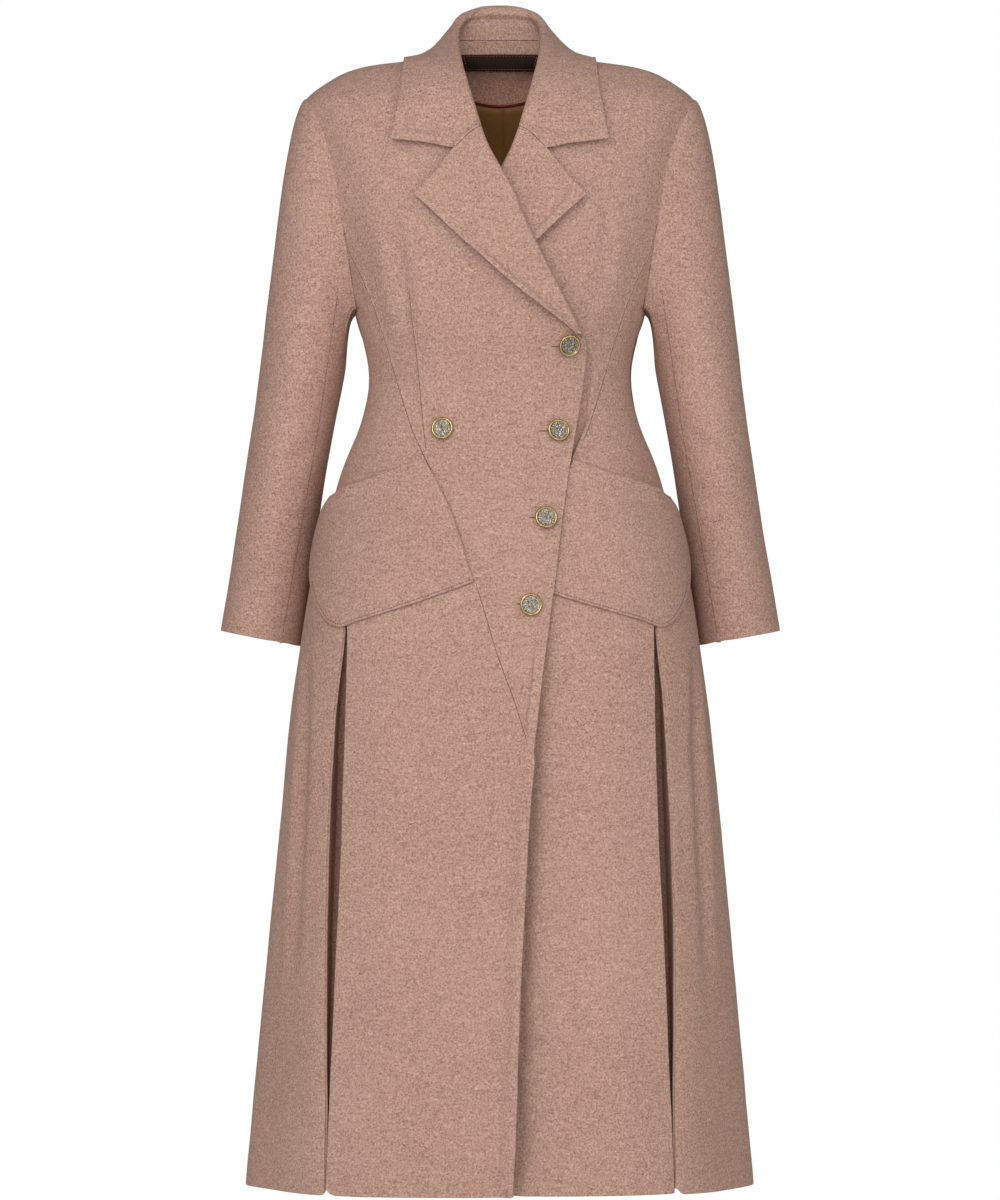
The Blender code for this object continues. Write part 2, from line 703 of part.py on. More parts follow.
def add_backs():
    upper = [*SHOULDER_ROWS, *ARM_HEIGHTS, -0.302, -0.340, -0.380, *HIP_ROWS, *SIDE_ROWS]
    lower = [-0.737, -0.840, -0.910, -0.980, -1.050, -1.110, -1.160, HEM]
    height = np.array(upper + lower)
    middle = height.copy()
    middle[: len(MIDDLE_ROWS)] = MIDDLE_ROWS
    outer = np.array([armhole_angle(place, behind=True) for place in height])
    inner = np.full(len(height), -np.pi)
    angle, grid = sheet_grid(outer, height, inner, middle, BACK_COLUMNS)
    add_panel("right_back", body, RIGHT, angle, grid)
    add_panel("left_back", body, LEFT, angle, grid)


# Sleeves


def sleeve_ring(turn, height):
    """A ring of the wearer's right sleeve; the turn starts outside and goes round by the front."""
    tilt = np.radians(SLEEVE.read("tilt", height))
    half_width = SLEEVE.read("half_width", height)
    out = SLEEVE.read("out", height) + half_width * np.cos(turn) * np.cos(tilt)
    ahead = SLEEVE.read("half_depth", height) * np.sin(turn)
    rise = half_width * np.cos(turn) * np.sin(tilt)
    return np.stack([-out, SLEEVE.read("back", height) - ahead, height + rise], -1)


def armhole_point(turn):
    ahead = np.cos(turn)
    height = SHOULDER_TIP + (ARMPIT - SHOULDER_TIP) * (1.0 - ahead) / 2
    behind = np.sin(turn) < -1e-9
    flat = [armhole_angle(place, rear) for place, rear in zip(height.ravel(), behind.ravel())]
    return body(np.array(flat).reshape(height.shape), height)


def add_sleeve(side, name, first, last):
    """Part of a sleeve between two turns, from the armhole down to the cuff."""
    first_ring = SLEEVE.rows[-1, 0]
    cuff = SLEEVE.rows[0, 0]
    turn = np.radians(np.arange(first, last + 1, ARM_STEP, dtype=float))
    inset = SEAM_GAP / 2 / 0.04
    turn[0] += inset
    turn[-1] -= inset
    cap = np.array([0.0, 0.10, 0.25, 0.45, 0.72])
    heights = np.array([first_ring, -0.385, -0.440, -0.497, -0.555, cuff])

    def place(row, spin):
        """Rows below one lie on the cap, the others are rings."""
        ring = sleeve_ring(spin, np.interp(row, np.arange(1, 1 + len(heights)), heights))
        snapped = np.radians(np.round(np.degrees(spin) / ARM_STEP) * ARM_STEP)
        near = armhole_point(snapped)
        further = armhole_point(snapped + np.radians(ARM_STEP) * np.sign(spin - snapped))
        start = near + (further - near) * (np.abs(spin - snapped) / np.radians(ARM_STEP))[..., None]
        under = (1.0 - np.cos(spin)) / 2
        leave = unit(np.stack([-1.0 + 0.0 * spin, 0.0 * spin, -0.45 * under], -1))
        start = start + leave * SEAM_GAP
        end = sleeve_ring(spin, np.full(spin.shape, first_ring))
        below = sleeve_ring(spin, np.full(spin.shape, first_ring - 0.01))
        length = np.linalg.norm(end - start, axis=-1, keepdims=True)
        leave = leave * np.minimum(0.062, 0.5 * length)
        arrive = unit(below - end) * length
        share = np.clip(row, 0.0, 1.0)[..., None]
        rest = 1.0 - share
        curve = start * (1 + 2 * share) * rest**2 + end * (3 - 2 * share) * share**2
        curve = curve + leave * share * rest**2 - arrive * share**2 * rest
        return np.where(row[..., None] <= 1.0, curve, ring)

    rows = np.concatenate([cap, np.arange(1, 1 + len(heights))])
    row, spin = np.meshgrid(rows, turn, indexing="ij")
    outer = place(row, spin)
    step = 1e-3
    swing = np.radians(ARM_STEP / 2)
    down = place(row + step, spin) - place(np.maximum(row - step, 0.0), spin)
    around = place(row, spin + swing) - place(row, spin - swing)
    facing = unit(np.cross(down, around))
    inner = outer - WALL * facing
    if side == LEFT:
        outer, inner = mirrored(outer), mirrored(inner)
    add_wall(name, outer, inner)


# Lapels and collar


def add_lapel(name, side, crest, edge, heights):
    """A sheet folded back over the front: a short tuck, the rolled fold, then out to its edge."""
    surface = front_surface(side)
    bends = np.radians([180.0, 140.0, 100.0, 60.0, 25.0, 0.0])
    outer, inner = [], []
    for height in heights:
        fold = float(crest(height))
        rim = min(float(edge(height)), fold - ROLL_RADIUS - 0.0006)
        middle = float(front_angle(fold, height))
        level = np.array([height])
        base = surface(np.array([middle * side]), level)[0]
        out = normals(surface, np.array([middle * side]), level)[0]
        ahead = surface(np.array([(middle + 1e-3) * side]), level)[0] - base
        inward = unit(ahead - np.dot(ahead, out) * out)
        centre = base - ROLL_RADIUS * inward - 0.0002 * out
        ways = np.array([math.cos(bend) * out + math.sin(bend) * inward for bend in bends])
        rolled = centre + ROLL_RADIUS * ways
        share = np.linspace(0.0, 1.0, 7)[1:]
        across = (fold - ROLL_RADIUS) * (1.0 - share) + rim * share
        spread = front_angle(across, np.full(share.shape, height))
        levels = np.full(share.shape, height)
        raise_by = ROLL_RADIUS - 0.0002 + 0.0022 * ease(share) * min(1.0, (fold - rim) / 0.06)
        flat = surface(spread * side, levels)
        flat_normal = normals(surface, spread * side, levels)
        sheet = flat + raise_by[:, None] * flat_normal
        outer.append(np.concatenate([rolled, sheet]))
        inner.append(np.concatenate([rolled - LAPEL_WALL * ways, sheet - LAPEL_WALL * flat_normal]))
    add_wall(name, np.array(outer), np.array(inner))


def add_lapels():
    gap = 2 * SEAM_GAP
    upper = [GORGE - 2 * gap, -0.0820, -0.0910, NOTCH, -0.1085, -0.1180, -0.1275, -0.1370, LAPEL_TIP]
    rows = upper + [-0.1640, -0.1777, -0.1976, -0.2180, -0.2356, -0.2608, -0.2819, -0.2950]

    def edge(height):
        drawn_in = gap if height > NOTCH - 0.001 else 0.0
        return LAPEL_EDGE.straight("across", height) + drawn_in

    def crest(height):
        return ROLL_LINE.read("across", height)

    add_lapel("right_lapel", RIGHT, crest, edge, rows)
    add_lapel("left_lapel", LEFT, crest, edge, rows)


def collar_sections():
    """The collar's visible face on the wearer's right, one row of points a station, and the neck seam."""
    share = np.linspace(0.0, 1.0, 7)[1:]
    angle = front_angle(ROLL_LINE.read("across", GORGE), GORGE)
    end = lifted(angle, GORGE, -0.0002) + np.array([0.0, 0.0, 4 * SEAM_GAP])
    stations = [dict(zip(COLLAR.names, row)) for row in COLLAR.rows]
    crests = [(-station["across"], station["back"], station["height"]) for station in stations]
    crests = np.array([*crests, end])
    ways = unit(np.gradient(crests, axis=0))
    ways[0] = (-1.0, 0.0, 0.0)
    end_across = np.array([-0.0295, -0.0390, -0.0478, -0.0690, -0.0905, COLLAR_POINT[0]])
    end_height = np.array([-0.0820, -0.0910, NOTCH, -0.0962, -0.0932, COLLAR_POINT[1]]) + 2 * SEAM_GAP
    end_height[:2] += SEAM_GAP
    end_sheet = lifted(front_angle(end_across, end_height), end_height, ROLL_RADIUS - 0.0002)
    rows, seams = [], []
    for number, (crest, way) in enumerate(zip(crests, ways)):
        last = number == len(stations)
        if last:
            seam = lifted(front_angle(NECKLINE.read("across", GORGE), GORGE), GORGE, -WALL)
            edge = end_sheet[2]
            radius = ROLL_RADIUS
        else:
            station = stations[number]
            seam = lifted(-math.radians(station["neck_degrees"]), station["neck_height"], -WALL)
            edge_angle = -math.radians(station["edge_degrees"])
            edge = lifted(edge_angle, station["edge_height"], station["edge_lift"])
            radius = station["radius"]
        inward = seam - crest
        outward = edge - crest
        inward = unit(inward - np.dot(inward, way) * way)
        outward = unit(outward - np.dot(outward, way) * way)
        peak = -unit(inward + outward)
        side = unit(np.cross(way, peak))
        if np.dot(side, outward - inward) < 0.0:
            side = -side
        half = 0.5 * math.acos(float(np.clip(np.dot(inward, outward), -1.0, 1.0)))
        centre = crest - radius * peak
        bends = np.linspace(math.pi - half, half, 6)
        rolled = [centre + radius * (math.cos(bend) * side + math.sin(bend) * peak) for bend in bends]
        inner_share = COLLAR_INNER_SHARE if number < STAND_STATIONS else 0.80
        low = rolled[0] + (seam - rolled[0]) * inner_share
        strip = [low + (rolled[0] - low) * part for part in (0.0, 0.5)]
        if last:
            sheet = end_sheet
        else:
            bulge = 4.0 * share * (1.0 - share) * station["bulge"]
            sheet = rolled[-1] + share[:, None] * (edge - rolled[-1]) + bulge[:, None] * side
        rows.append(np.concatenate([np.array(strip), np.array(rolled), sheet]))
        seams.append(seam)
    return np.array(rows), np.array(seams)


def clear_of_front(points, lift):
    """Moves points ahead where they would lie less than a lift out from the front."""
    points = points.copy()
    width = BODY.read("half_width", points[..., 2])
    power = BODY.read("squareness", points[..., 2])
    share = np.clip(np.abs(points[..., 0]) / width, 0.0, 0.99999) ** power
    depth = BODY.read("front", points[..., 2]) * (1.0 - share) ** (1.0 / power)
    lowest = BODY.read("centre", points[..., 2]) - depth - lift / 0.85
    use = (points[..., 2] < -0.012) & (points[..., 1] < 0.0)
    points[..., 1] = np.where(use, np.minimum(points[..., 1], lowest), points[..., 1])
    return points


def add_collar():
    rows, seams = collar_sections()
    between = 0.5 * (rows[-2] + rows[-1])
    rows = np.concatenate([rows[:-1], between[None], rows[-1:]])
    rows[5:-1, 8:] = clear_of_front(rows[5:-1, 8:], ROLL_RADIUS + 0.0002)
    whole = np.concatenate([rows[::-1], mirrored(rows[1:])])
    add_folded("collar_fall", whole, LAPEL_WALL, np.array([0.0, 1.0, 0.2]))
    low = rows[: STAND_STATIONS + 1, 0]
    seam = seams[: STAND_STATIONS + 1]
    down = unit(seam - low)
    top = low + down * 2 * SEAM_GAP
    bottom = seam - down * 2 * SEAM_GAP
    share = np.linspace(0.0, 1.0, 3)
    stand = top[:, None] * (1.0 - share)[None, :, None] + bottom[:, None] * share[None, :, None]
    whole = np.concatenate([stand[::-1], mirrored(stand[1:])])
    add_folded("collar_stand", whole, WALL, np.array([0.0, -1.0, 0.0]))


# Pockets, neck finish and buttons


def add_pocket(name, side):
    """A sheet on the side body, sewn along the diagonal seam and its lower edge, free at the top."""
    share = np.linspace(0.0, 1.0, 10)
    drop = POCKET_SIDE.column("drop")
    inner_height = -0.4290 - 0.1300 * drop
    outer_height = -0.4590 - 0.1470 * drop
    inner = front_angle(DIAGONAL_SEAM.read("across", inner_height), inner_height) - 0.001 / 0.12
    outer = -np.radians(POCKET_SIDE.column("degrees"))
    angle = inner[:, None] * (1.0 - share) + outer[:, None] * share
    height = inner_height[:, None] * (1.0 - share) + outer_height[:, None] * share
    away = ease((share - 0.35) / 0.6)[None, :] * (1.0 - ease(drop / 0.75))[:, None]
    mouth = 0.0012 * (1.0 - ease(drop / 0.3))[:, None]
    lift = POCKET_WALL + LAYER_GAP + mouth + POCKET_STAND_OFF * away
    surface = front_surface(side)
    out = normals(surface, angle * side, height)
    add_folded(name, surface(angle * side, height) + lift[..., None] * out, POCKET_WALL, out[4, -2])


def facing_low(angle):
    """The lower edge of the back neck facing: a shallow bow that rises toward the shoulders."""
    off_middle = np.abs(np.pi - np.abs(angle))
    return -0.0392 + 0.0210 * ease(off_middle / math.radians(60))


def add_inside(name, lift, wall, kind, angles, top, bottom, rows):
    """A sheet on the back's inner side; the lift is that of the face toward the back."""
    share = np.linspace(0.0, 1.0, rows)[:, None]
    angle = np.tile(angles, (rows, 1))
    height = top(angles)[None, :] * (1.0 - share) + bottom(angles)[None, :] * share
    add_wall(name, lifted(angle, height, lift), lifted(angle, height, lift - wall), kind)


def add_neck_finish():
    behind = -WALL - 0.0022
    round_back = np.pi + np.radians(np.linspace(-79.3, 79.3, 15))

    def neck_top(angles):
        return np.interp(np.abs(np.pi - angles), [0.0, math.pi / 2], [NECK_BACK, NECK_SIDE]) - 0.0006

    def lining_low(angles):
        return np.full(angles.shape, -0.2300)

    def lining_top(angles):
        return facing_low(angles) - 0.0032

    add_inside("back_neck_facing", behind, FACING_WALL, "facing", round_back, neck_top, facing_low, 6)
    lined = np.pi + np.radians(np.linspace(-56.65, 56.65, 11))
    add_inside("back_lining", behind, LINING_WALL, "lining", lined, lining_top, lining_low, 7)
    rows = []
    for half_width, middle, back in LABEL_ROWS:
        back = np.array(back[:0:-1] + back)
        across = half_width * np.linspace(1.0, -1.0, len(back))
        rows.append(np.stack([across, back, middle - LABEL_DROP * (back.max() - back)], -1))
    tape = np.array(rows)
    add_wall("label", tape, tape + LABEL_WALL * np.array([0.0, -0.95, -0.31]), "label")
    cord = bpy.data.curves.new("facing_piping", "CURVE")
    cord.dimensions = "3D"
    cord.bevel_depth = 0.0012
    cord.bevel_resolution = 1
    cord.use_fill_caps = True
    line = cord.splines.new("POLY")
    line.points.add(len(round_back) - 1)
    places = lifted(round_back, facing_low(round_back) - 0.0016, behind - 0.0010)
    for point, place in zip(line.points, places):
        point.co = (*place, 1.0)
    add_object("facing_piping", cord, "piping")


def add_buttons():
    profile = (
        (0.0, 0.0042),
        (BUTTON_RADIUS - 0.0029, 0.0038),
        (BUTTON_RADIUS - 0.0019, BUTTON_HEIGHT),
        (BUTTON_RADIUS - 0.0006, 0.0042),
        (BUTTON_RADIUS, 0.0028),
        (BUTTON_RADIUS - 0.0014, 0.0014),
        (BUTTON_SHANK, 0.0014),
        (BUTTON_SHANK, 0.0),
        (0.0, 0.0),
    )
    for number, (across, height, lift) in enumerate(BUTTONS, 1):
        shape = bpy.data.meshes.new(f"button_{number}")
        edges = [(place, place + 1) for place in range(len(profile) - 1)]
        shape.from_pydata([(reach, 0.0, rise) for reach, rise in profile], edges, [])
        made = add_object(f"button_{number}", shape, "button")
        turned = made.modifiers.new("turned", "SCREW")
        turned.steps = 18
        turned.render_steps = 18
        turned.use_merge_vertices = True
        turned.merge_threshold = 0.0001
        angle = front_angle(across, height)
        out = normals(body, angle, height)
        made.location = lifted(angle, height, lift)
        made.rotation_euler = (math.acos(out[2]), 0.0, math.atan2(out[1], out[0]) + math.pi / 2)


def build():
    for old in list(bpy.data.objects):
        bpy.data.objects.remove(old)
    coat = bpy.data.collections.new("wool_coat")
    bpy.context.scene.collection.children.link(coat)
    add_fronts()
    add_side_bodies()
    add_skirt_front("right_skirt_front", RIGHT, HEM)
    add_skirt_front("left_skirt_front", LEFT, UNDERLAP_HEM)
    add_skirt_side("right_skirt_side", RIGHT)
    add_skirt_side("left_skirt_side", LEFT)
    add_backs()
    for side, word in ((RIGHT, "right"), (LEFT, "left")):
        add_sleeve(side, f"{word}_top_sleeve", -120, 120)
        add_sleeve(side, f"{word}_under_sleeve", 120, 240)
        add_pocket(f"{word}_pocket", side)
    add_lapels()
    add_collar()
    add_neck_finish()
    add_buttons()


build()
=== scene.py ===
import math

import bmesh
import bpy
import numpy as np
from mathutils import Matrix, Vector, noise
from mathutils.bvhtree import BVHTree


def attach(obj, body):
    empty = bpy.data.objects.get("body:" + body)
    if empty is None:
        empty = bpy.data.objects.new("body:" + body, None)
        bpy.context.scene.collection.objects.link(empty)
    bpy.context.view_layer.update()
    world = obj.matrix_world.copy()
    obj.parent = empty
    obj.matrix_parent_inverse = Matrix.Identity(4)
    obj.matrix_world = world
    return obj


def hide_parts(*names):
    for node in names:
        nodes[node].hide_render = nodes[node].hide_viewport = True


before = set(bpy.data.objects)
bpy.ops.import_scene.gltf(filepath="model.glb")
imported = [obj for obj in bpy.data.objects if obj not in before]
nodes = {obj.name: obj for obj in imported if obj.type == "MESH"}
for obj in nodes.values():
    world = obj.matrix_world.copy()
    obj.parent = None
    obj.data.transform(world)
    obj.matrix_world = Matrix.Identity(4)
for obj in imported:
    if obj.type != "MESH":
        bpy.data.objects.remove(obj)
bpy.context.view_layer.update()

noise.seed_set(5)       # so the cloth lies alike in each run
print("frame loaded:", len(nodes), "nodes")

# the camera stands where the photograph was taken from; pixels are those of its 1000 x 1200 frame
cameraSet = {
    "place": (0.0, -7.0, -0.5778),
    "lens": 196.3,              # mm
    "film": 36.0,
    "metresPerPixel": 0.00107,  # at the middle of the coat
    "middle": (500.0, 600.0),
}


def rayThrough(px, py):
    # from the camera through a pixel of the photograph
    across = (px - cameraSet["middle"][0]) * cameraSet["metresPerPixel"]
    up = (cameraSet["middle"][1] - py) * cameraSet["metresPerPixel"]
    start = Vector(cameraSet["place"])
    return start, Vector((across, -cameraSet["place"][1], up)).normalized()


def srgb(*levels):
    shares = [level / 255 for level in levels]
    return tuple(((share + 0.055) / 1.055) ** 2.4 if share > 0.04 else share / 12.92 for share in shares)


def smooth(share):
    share = np.clip(share, 0.0, 1.0)
    return share * share * (3.0 - 2.0 * share)


def camel(name):
    first, *rest = name.split("_")
    return first + "".join(word.capitalize() for word in rest)


# shader maths: a wire is a socket that takes part in sums

class Wire:
    def __init__(self, finish, socket):
        self.finish, self.socket = finish, socket

    def sum(self, operation, first, second):
        return self.finish.node("ShaderNodeMath", {"operation": operation}, {0: first, 1: second})

    def __add__(self, other):
        return self.sum("ADD", self, other)

    def __sub__(self, other):
        return self.sum("SUBTRACT", self, other)

    def __mul__(self, other):
        return self.sum("MULTIPLY", self, other)

    def __rsub__(self, other):
        return self.sum("SUBTRACT", other, self)

    def atLeast(self, other):
        return self.sum("MAXIMUM", self, other)

    def atMost(self, other):
        return self.sum("MINIMUM", self, other)

    __radd__ = __add__
    __rmul__ = __mul__


class Finish:
    # one material: constants on the shader's own sockets, wires where the surface varies
    def __init__(self, name, tree=None, **constants):
        self.tree = tree
        if tree:
            return
        self.material = bpy.data.materials.new(name)
        self.material.use_nodes = True
        self.tree = self.material.node_tree
        self.shader = self.tree.nodes["Principled BSDF"]
        for socket, value in constants.items():
            self.shader.inputs[socket].default_value = value

    def node(self, kind, settings=None, inputs=None, out=0):
        made = self.tree.nodes.new(kind)
        for key, value in (settings or {}).items():
            setattr(made, key, value)
        for key, value in (inputs or {}).items():
            self.link(value, made.inputs[key])
        return Wire(self, made.outputs[out]) if out is not None else None

    def link(self, value, socket):
        if isinstance(value, Wire):
            self.tree.links.new(value.socket, socket)
        elif hasattr(value, "__len__") and len(value) == 3 and socket.type == "RGBA":
            socket.default_value = (*value, 1.0)
        else:
            socket.default_value = value

    def feed(self, **wires):
        for socket, value in wires.items():
            self.link(value, self.shader.inputs[socket.replace("_", " ")])

    def place(self, stretch=(1.0, 1.0, 1.0)):
        spot = self.node("ShaderNodeTexCoord", out="Object")
        return self.node("ShaderNodeVectorMath", {"operation": "MULTIPLY"}, {0: spot, 1: stretch})

    def grain(self, scale, detail=2.0, rough=0.5, stretch=(1.0, 1.0, 1.0)):
        # noise about zero
        spot = self.place(stretch)
        sizes = {"Vector": spot, "Scale": scale, "Detail": detail, "Roughness": rough}
        return self.node("ShaderNodeTexNoise", {"noise_dimensions": "3D"}, sizes) - 0.5

    def blendOf(self, share, first, second):
        # a Mix node takes colours at sockets 6 and 7 and gives one at 2
        return self.node("ShaderNodeMix", {"data_type": "RGBA"}, {0: share, 6: first, 7: second}, 2)

    def relief(self, height, strength, distance):
        sizes = {"Height": height, "Strength": strength, "Distance": distance}
        return self.node("ShaderNodeBump", None, sizes)


woolSet = {
    "dark": srgb(112, 73, 58),
    "light": srgb(218, 182, 164),
    "fleck": 520.0,     # flecks a metre
    "fibre": 1500.0,
    "streak": (70.0, 70.0, 420.0),
    "broad": 9.0,
    "shares": {"fleck": 1.5, "fibre": 1.1, "streak": 0.3, "broad": 0.12},   # how strongly each one shows
    "relief": 0.0007,
}


def woolFinish(name, tone=(1.0, 1.0, 1.0)):
    finish = Finish(name, **{"Roughness": 0.92, "Sheen Weight": 0.02, "Sheen Roughness": 0.5,
                             "Specular IOR Level": 0.12})
    shares = woolSet["shares"]
    fleck = finish.grain(woolSet["fleck"], 3.0, 0.62)
    fibre = finish.grain(woolSet["fibre"], 2.0, 0.6)
    streak = finish.grain(1.0, 2.0, 0.5, woolSet["streak"])
    broad = finish.grain(woolSet["broad"])
    share = (0.5 + fleck * shares["fleck"] + fibre * shares["fibre"]
             + streak * shares["streak"] + broad * shares["broad"])
    # a scale other than one paints light or shade into the wool: lighter for the facing inside the neck,
    # darker for the seams' lines
    dark = tuple(c * part for c, part in zip(woolSet["dark"], tone))
    light = tuple(c * part for c, part in zip(woolSet["light"], tone))
    finish.feed(Base_Color=finish.blendOf(share, dark, light))
    finish.feed(Normal=finish.relief(fleck * 0.6 + fibre * 0.5, 0.5, woolSet["relief"]))
    return finish.material


satinSet = {"dark": srgb(112, 72, 38), "light": srgb(176, 128, 72),
            "rib": (900.0, 900.0, 60.0), "broad": 16.0}


def satinFinish():
    finish = Finish("olive satin lining", **{"Specular IOR Level": 0.16})
    rib = finish.grain(1.0, 1.0, 0.5, satinSet["rib"])
    broad = finish.grain(satinSet["broad"])
    share = 0.5 + broad * 0.7 + rib * 0.35
    finish.feed(Base_Color=finish.blendOf(share, satinSet["dark"], satinSet["light"]))
    finish.feed(Roughness=0.5 + broad * 0.2)
    finish.feed(Normal=finish.relief(rib, 0.25, 0.0003))
    return finish.material


tapeSet = {"dark": srgb(17, 9, 7), "light": srgb(50, 33, 28),
           "warp": (1500.0, 1500.0, 300.0), "weft": (300.0, 300.0, 1500.0)}


def tapeFinish():
    finish = Finish("dark woven tape", **{"Specular IOR Level": 0.3})
    warp = finish.grain(1.0, 1.0, 0.5, tapeSet["warp"])
    weft = finish.grain(1.0, 1.0, 0.5, tapeSet["weft"])
    finish.feed(Base_Color=finish.blendOf(0.5 + warp + weft, tapeSet["dark"], tapeSet["light"]))
    finish.feed(Roughness=0.75 + warp * 0.2)
    finish.feed(Normal=finish.relief(warp + weft, 0.4, 0.0003))
    return finish.material


def cordFinish(name, dark, light, rough):
    finish = Finish(name, **{"Specular IOR Level": 0.35})
    twist = finish.grain(900.0, 2.0, 0.6)
    finish.feed(Base_Color=finish.blendOf(0.5 + twist * 1.2, dark, light))
    finish.feed(Roughness=rough + twist * 0.2)
    finish.feed(Normal=finish.relief(twist, 0.4, 0.0002))
    return finish.material


def metalFinish(name, dark, light, rough, scale):
    finish = Finish(name, **{"Metallic": 1.0})
    worn = finish.grain(scale, 3.0, 0.6)
    finish.feed(Base_Color=finish.blendOf(0.5 + worn * 1.3, dark, light))
    finish.feed(Roughness=rough + worn * 0.25)
    finish.feed(Normal=finish.relief(worn, 0.12, 0.0002))
    return finish.material


hammeredSet = {"dark": srgb(60, 46, 32), "light": srgb(246, 236, 222), "facets": 760.0, "wear": 1400.0}


def hammeredFinish():
    finish = Finish("hammered centre", **{"Metallic": 1.0})
    cells = {"Vector": finish.place(), "Scale": hammeredSet["facets"], "Randomness": 1.0}
    facet = finish.node("ShaderNodeTexVoronoi", {"feature": "DISTANCE_TO_EDGE"}, cells, "Distance")
    worn = finish.grain(hammeredSet["wear"], 3.0, 0.6)
    share = (facet * 2.5).atMost(1.0) + worn * 1.7 - 0.06
    finish.feed(Base_Color=finish.blendOf(share, hammeredSet["dark"], hammeredSet["light"]))
    finish.feed(Roughness=0.2 + worn * 0.3)
    finish.feed(Normal=finish.relief(facet + worn * 0.3, 0.8, 0.0006))
    return finish.material


finishes = {
    "wool": woolFinish("heathered wool"),
    # the facing: the coat's wool painted lighter, painted light that lifts the shade inside the neck
    "facing": woolFinish("heathered wool facing", (1.5, 1.3, 1.22)),
    # the seams' lines: the wool darkened, painted shadow in each seam's groove
    "seam": woolFinish("pressed seam", (0.34, 0.29, 0.27)),
    "lining": satinFinish(),
    "label": tapeFinish(),
    "piping": cordFinish("dark red piping", srgb(44, 8, 9), srgb(158, 34, 28), 0.55),
    "labelThread": cordFinish("rust thread", srgb(104, 46, 32), srgb(168, 86, 60), 0.6),
    # the pockets' topstitching: the thread's own camel colour, darkened by painted shadow of its groove
    "threadWithPaintedShade": cordFinish("camel thread", srgb(84, 58, 47), srgb(132, 98, 82), 0.8),
    "holeThread": cordFinish("pale camel thread", srgb(140, 104, 88), srgb(206, 168, 150), 0.8),
    # the buttonholes' slits: near black, painted shadow in each cut
    "slit": cordFinish("dark slit", srgb(14, 9, 8), srgb(38, 26, 22), 0.9),
    "gold": metalFinish("brass rim", srgb(118, 94, 54), srgb(216, 188, 134), 0.15, 260.0),
    "hammered": hammeredFinish(),
}
print("finishes made:", len(finishes))


# cloth shells

def meshPoints(mesh):
    points = np.empty(len(mesh.vertices) * 3, np.float32)
    mesh.vertices.foreach_get("co", points)
    return points.reshape(-1, 3).astype(float)


def setPoints(mesh, points):
    mesh.vertices.foreach_set("co", points.astype(np.float32).ravel())
    mesh.update()


def meshFrom(made, name):
    mesh = bpy.data.meshes.new(name)
    made.to_mesh(mesh)
    made.free()
    return mesh


def smoothFaces(mesh):
    for face in mesh.polygons:
        face.use_smooth = True


def addObject(name, data):
    made = bpy.data.objects.new(name, data)
    bpy.context.scene.collection.objects.link(made)
    return made


# how a solid becomes a shell: lengths in metres, angles in degrees
shellSet = {
    "weld": 2e-5,
    "quadAngle": 38,        # two triangles within these make a quad
    "quadShape": 170,
    "quadRegular": 1.6,
    "sharpAngle": 58,       # where the solid has a rim
    "rimRadius": {"wool": 0.0009, "facing": 0.0005},    # thinner cloths keep a sharp rim
    "fitRounds": 4,
    "fitStep": 0.9,
    "rimAngle": 40,         # where the evening leaves the shell alone
    "evenRounds": 6,
    "evenSteps": (0.5, -0.47),
}


def cageOf(node, radius):
    # the solid's own faces, welded and paired to quads, with its rims rounded or kept sharp
    shell = bmesh.new()
    shell.from_mesh(node.data)
    bmesh.ops.remove_doubles(shell, verts=shell.verts, dist=shellSet["weld"])
    bmesh.ops.join_triangles(shell, faces=shell.faces,
                             angle_face_threshold=math.radians(shellSet["quadAngle"]),
                             angle_shape_threshold=math.radians(shellSet["quadShape"]),
                             topology_influence=shellSet["quadRegular"])
    shell.normal_update()
    crease = shell.edges.layers.float.new("crease_edge")
    sharp = [edge for edge in shell.edges if edge.calc_face_angle(0.0) > math.radians(shellSet["sharpAngle"])]
    if radius:
        bmesh.ops.bevel(shell, geom=sharp, offset=radius, offset_type="OFFSET", segments=1, profile=0.5,
                        affect="EDGES", clamp_overlap=True)
    else:
        for edge in sharp:
            edge[crease] = 1.0
    return meshFrom(shell, node.name + "Cage")


def subdivided(mesh, levels):
    # a smooth surface through the cage's own points
    made = addObject("cage", mesh)
    divide = made.modifiers.new("smooth", "SUBSURF")
    divide.levels = divide.render_levels = levels
    target = meshPoints(mesh)
    for _ in range(shellSet["fitRounds"]):
        bpy.context.view_layer.update()
        graph = bpy.context.evaluated_depsgraph_get()
        fine = made.evaluated_get(graph)
        reached = meshPoints(fine.data)[: len(target)]
        setPoints(mesh, meshPoints(mesh) + shellSet["fitStep"] * (target - reached))
    bpy.context.view_layer.update()
    graph = bpy.context.evaluated_depsgraph_get()
    result = bpy.data.meshes.new_from_object(made.evaluated_get(graph))
    bpy.data.objects.remove(made)
    return result


def rimsOf(mesh):
    # vertices where the shell turns sharply
    shell = bmesh.new()
    shell.from_mesh(mesh)
    sharp = [edge for edge in shell.edges if edge.calc_face_angle(0.0) > math.radians(shellSet["rimAngle"])]
    vertices = {vertex.index for edge in sharp for vertex in edge.verts}
    shell.free()
    return vertices


def evened(mesh):
    # takes the last ripples out of the faces and leaves the rims alone
    points = meshPoints(mesh)
    edges = np.empty(len(mesh.edges) * 2, np.int32)
    mesh.edges.foreach_get("vertices", edges)
    edges = edges.reshape(-1, 2)
    count = np.bincount(edges.ravel(), minlength=len(points))[:, None]
    free = np.ones(len(points), bool)
    free[list(rimsOf(mesh))] = False
    for turn in range(shellSet["evenRounds"] * 2):
        total = np.zeros_like(points)
        np.add.at(total, edges[:, 0], points[edges[:, 1]])
        np.add.at(total, edges[:, 1], points[edges[:, 0]])
        step = (total / count - points) * shellSet["evenSteps"][turn % 2]
        points[free] += step[free]
    setPoints(mesh, points)


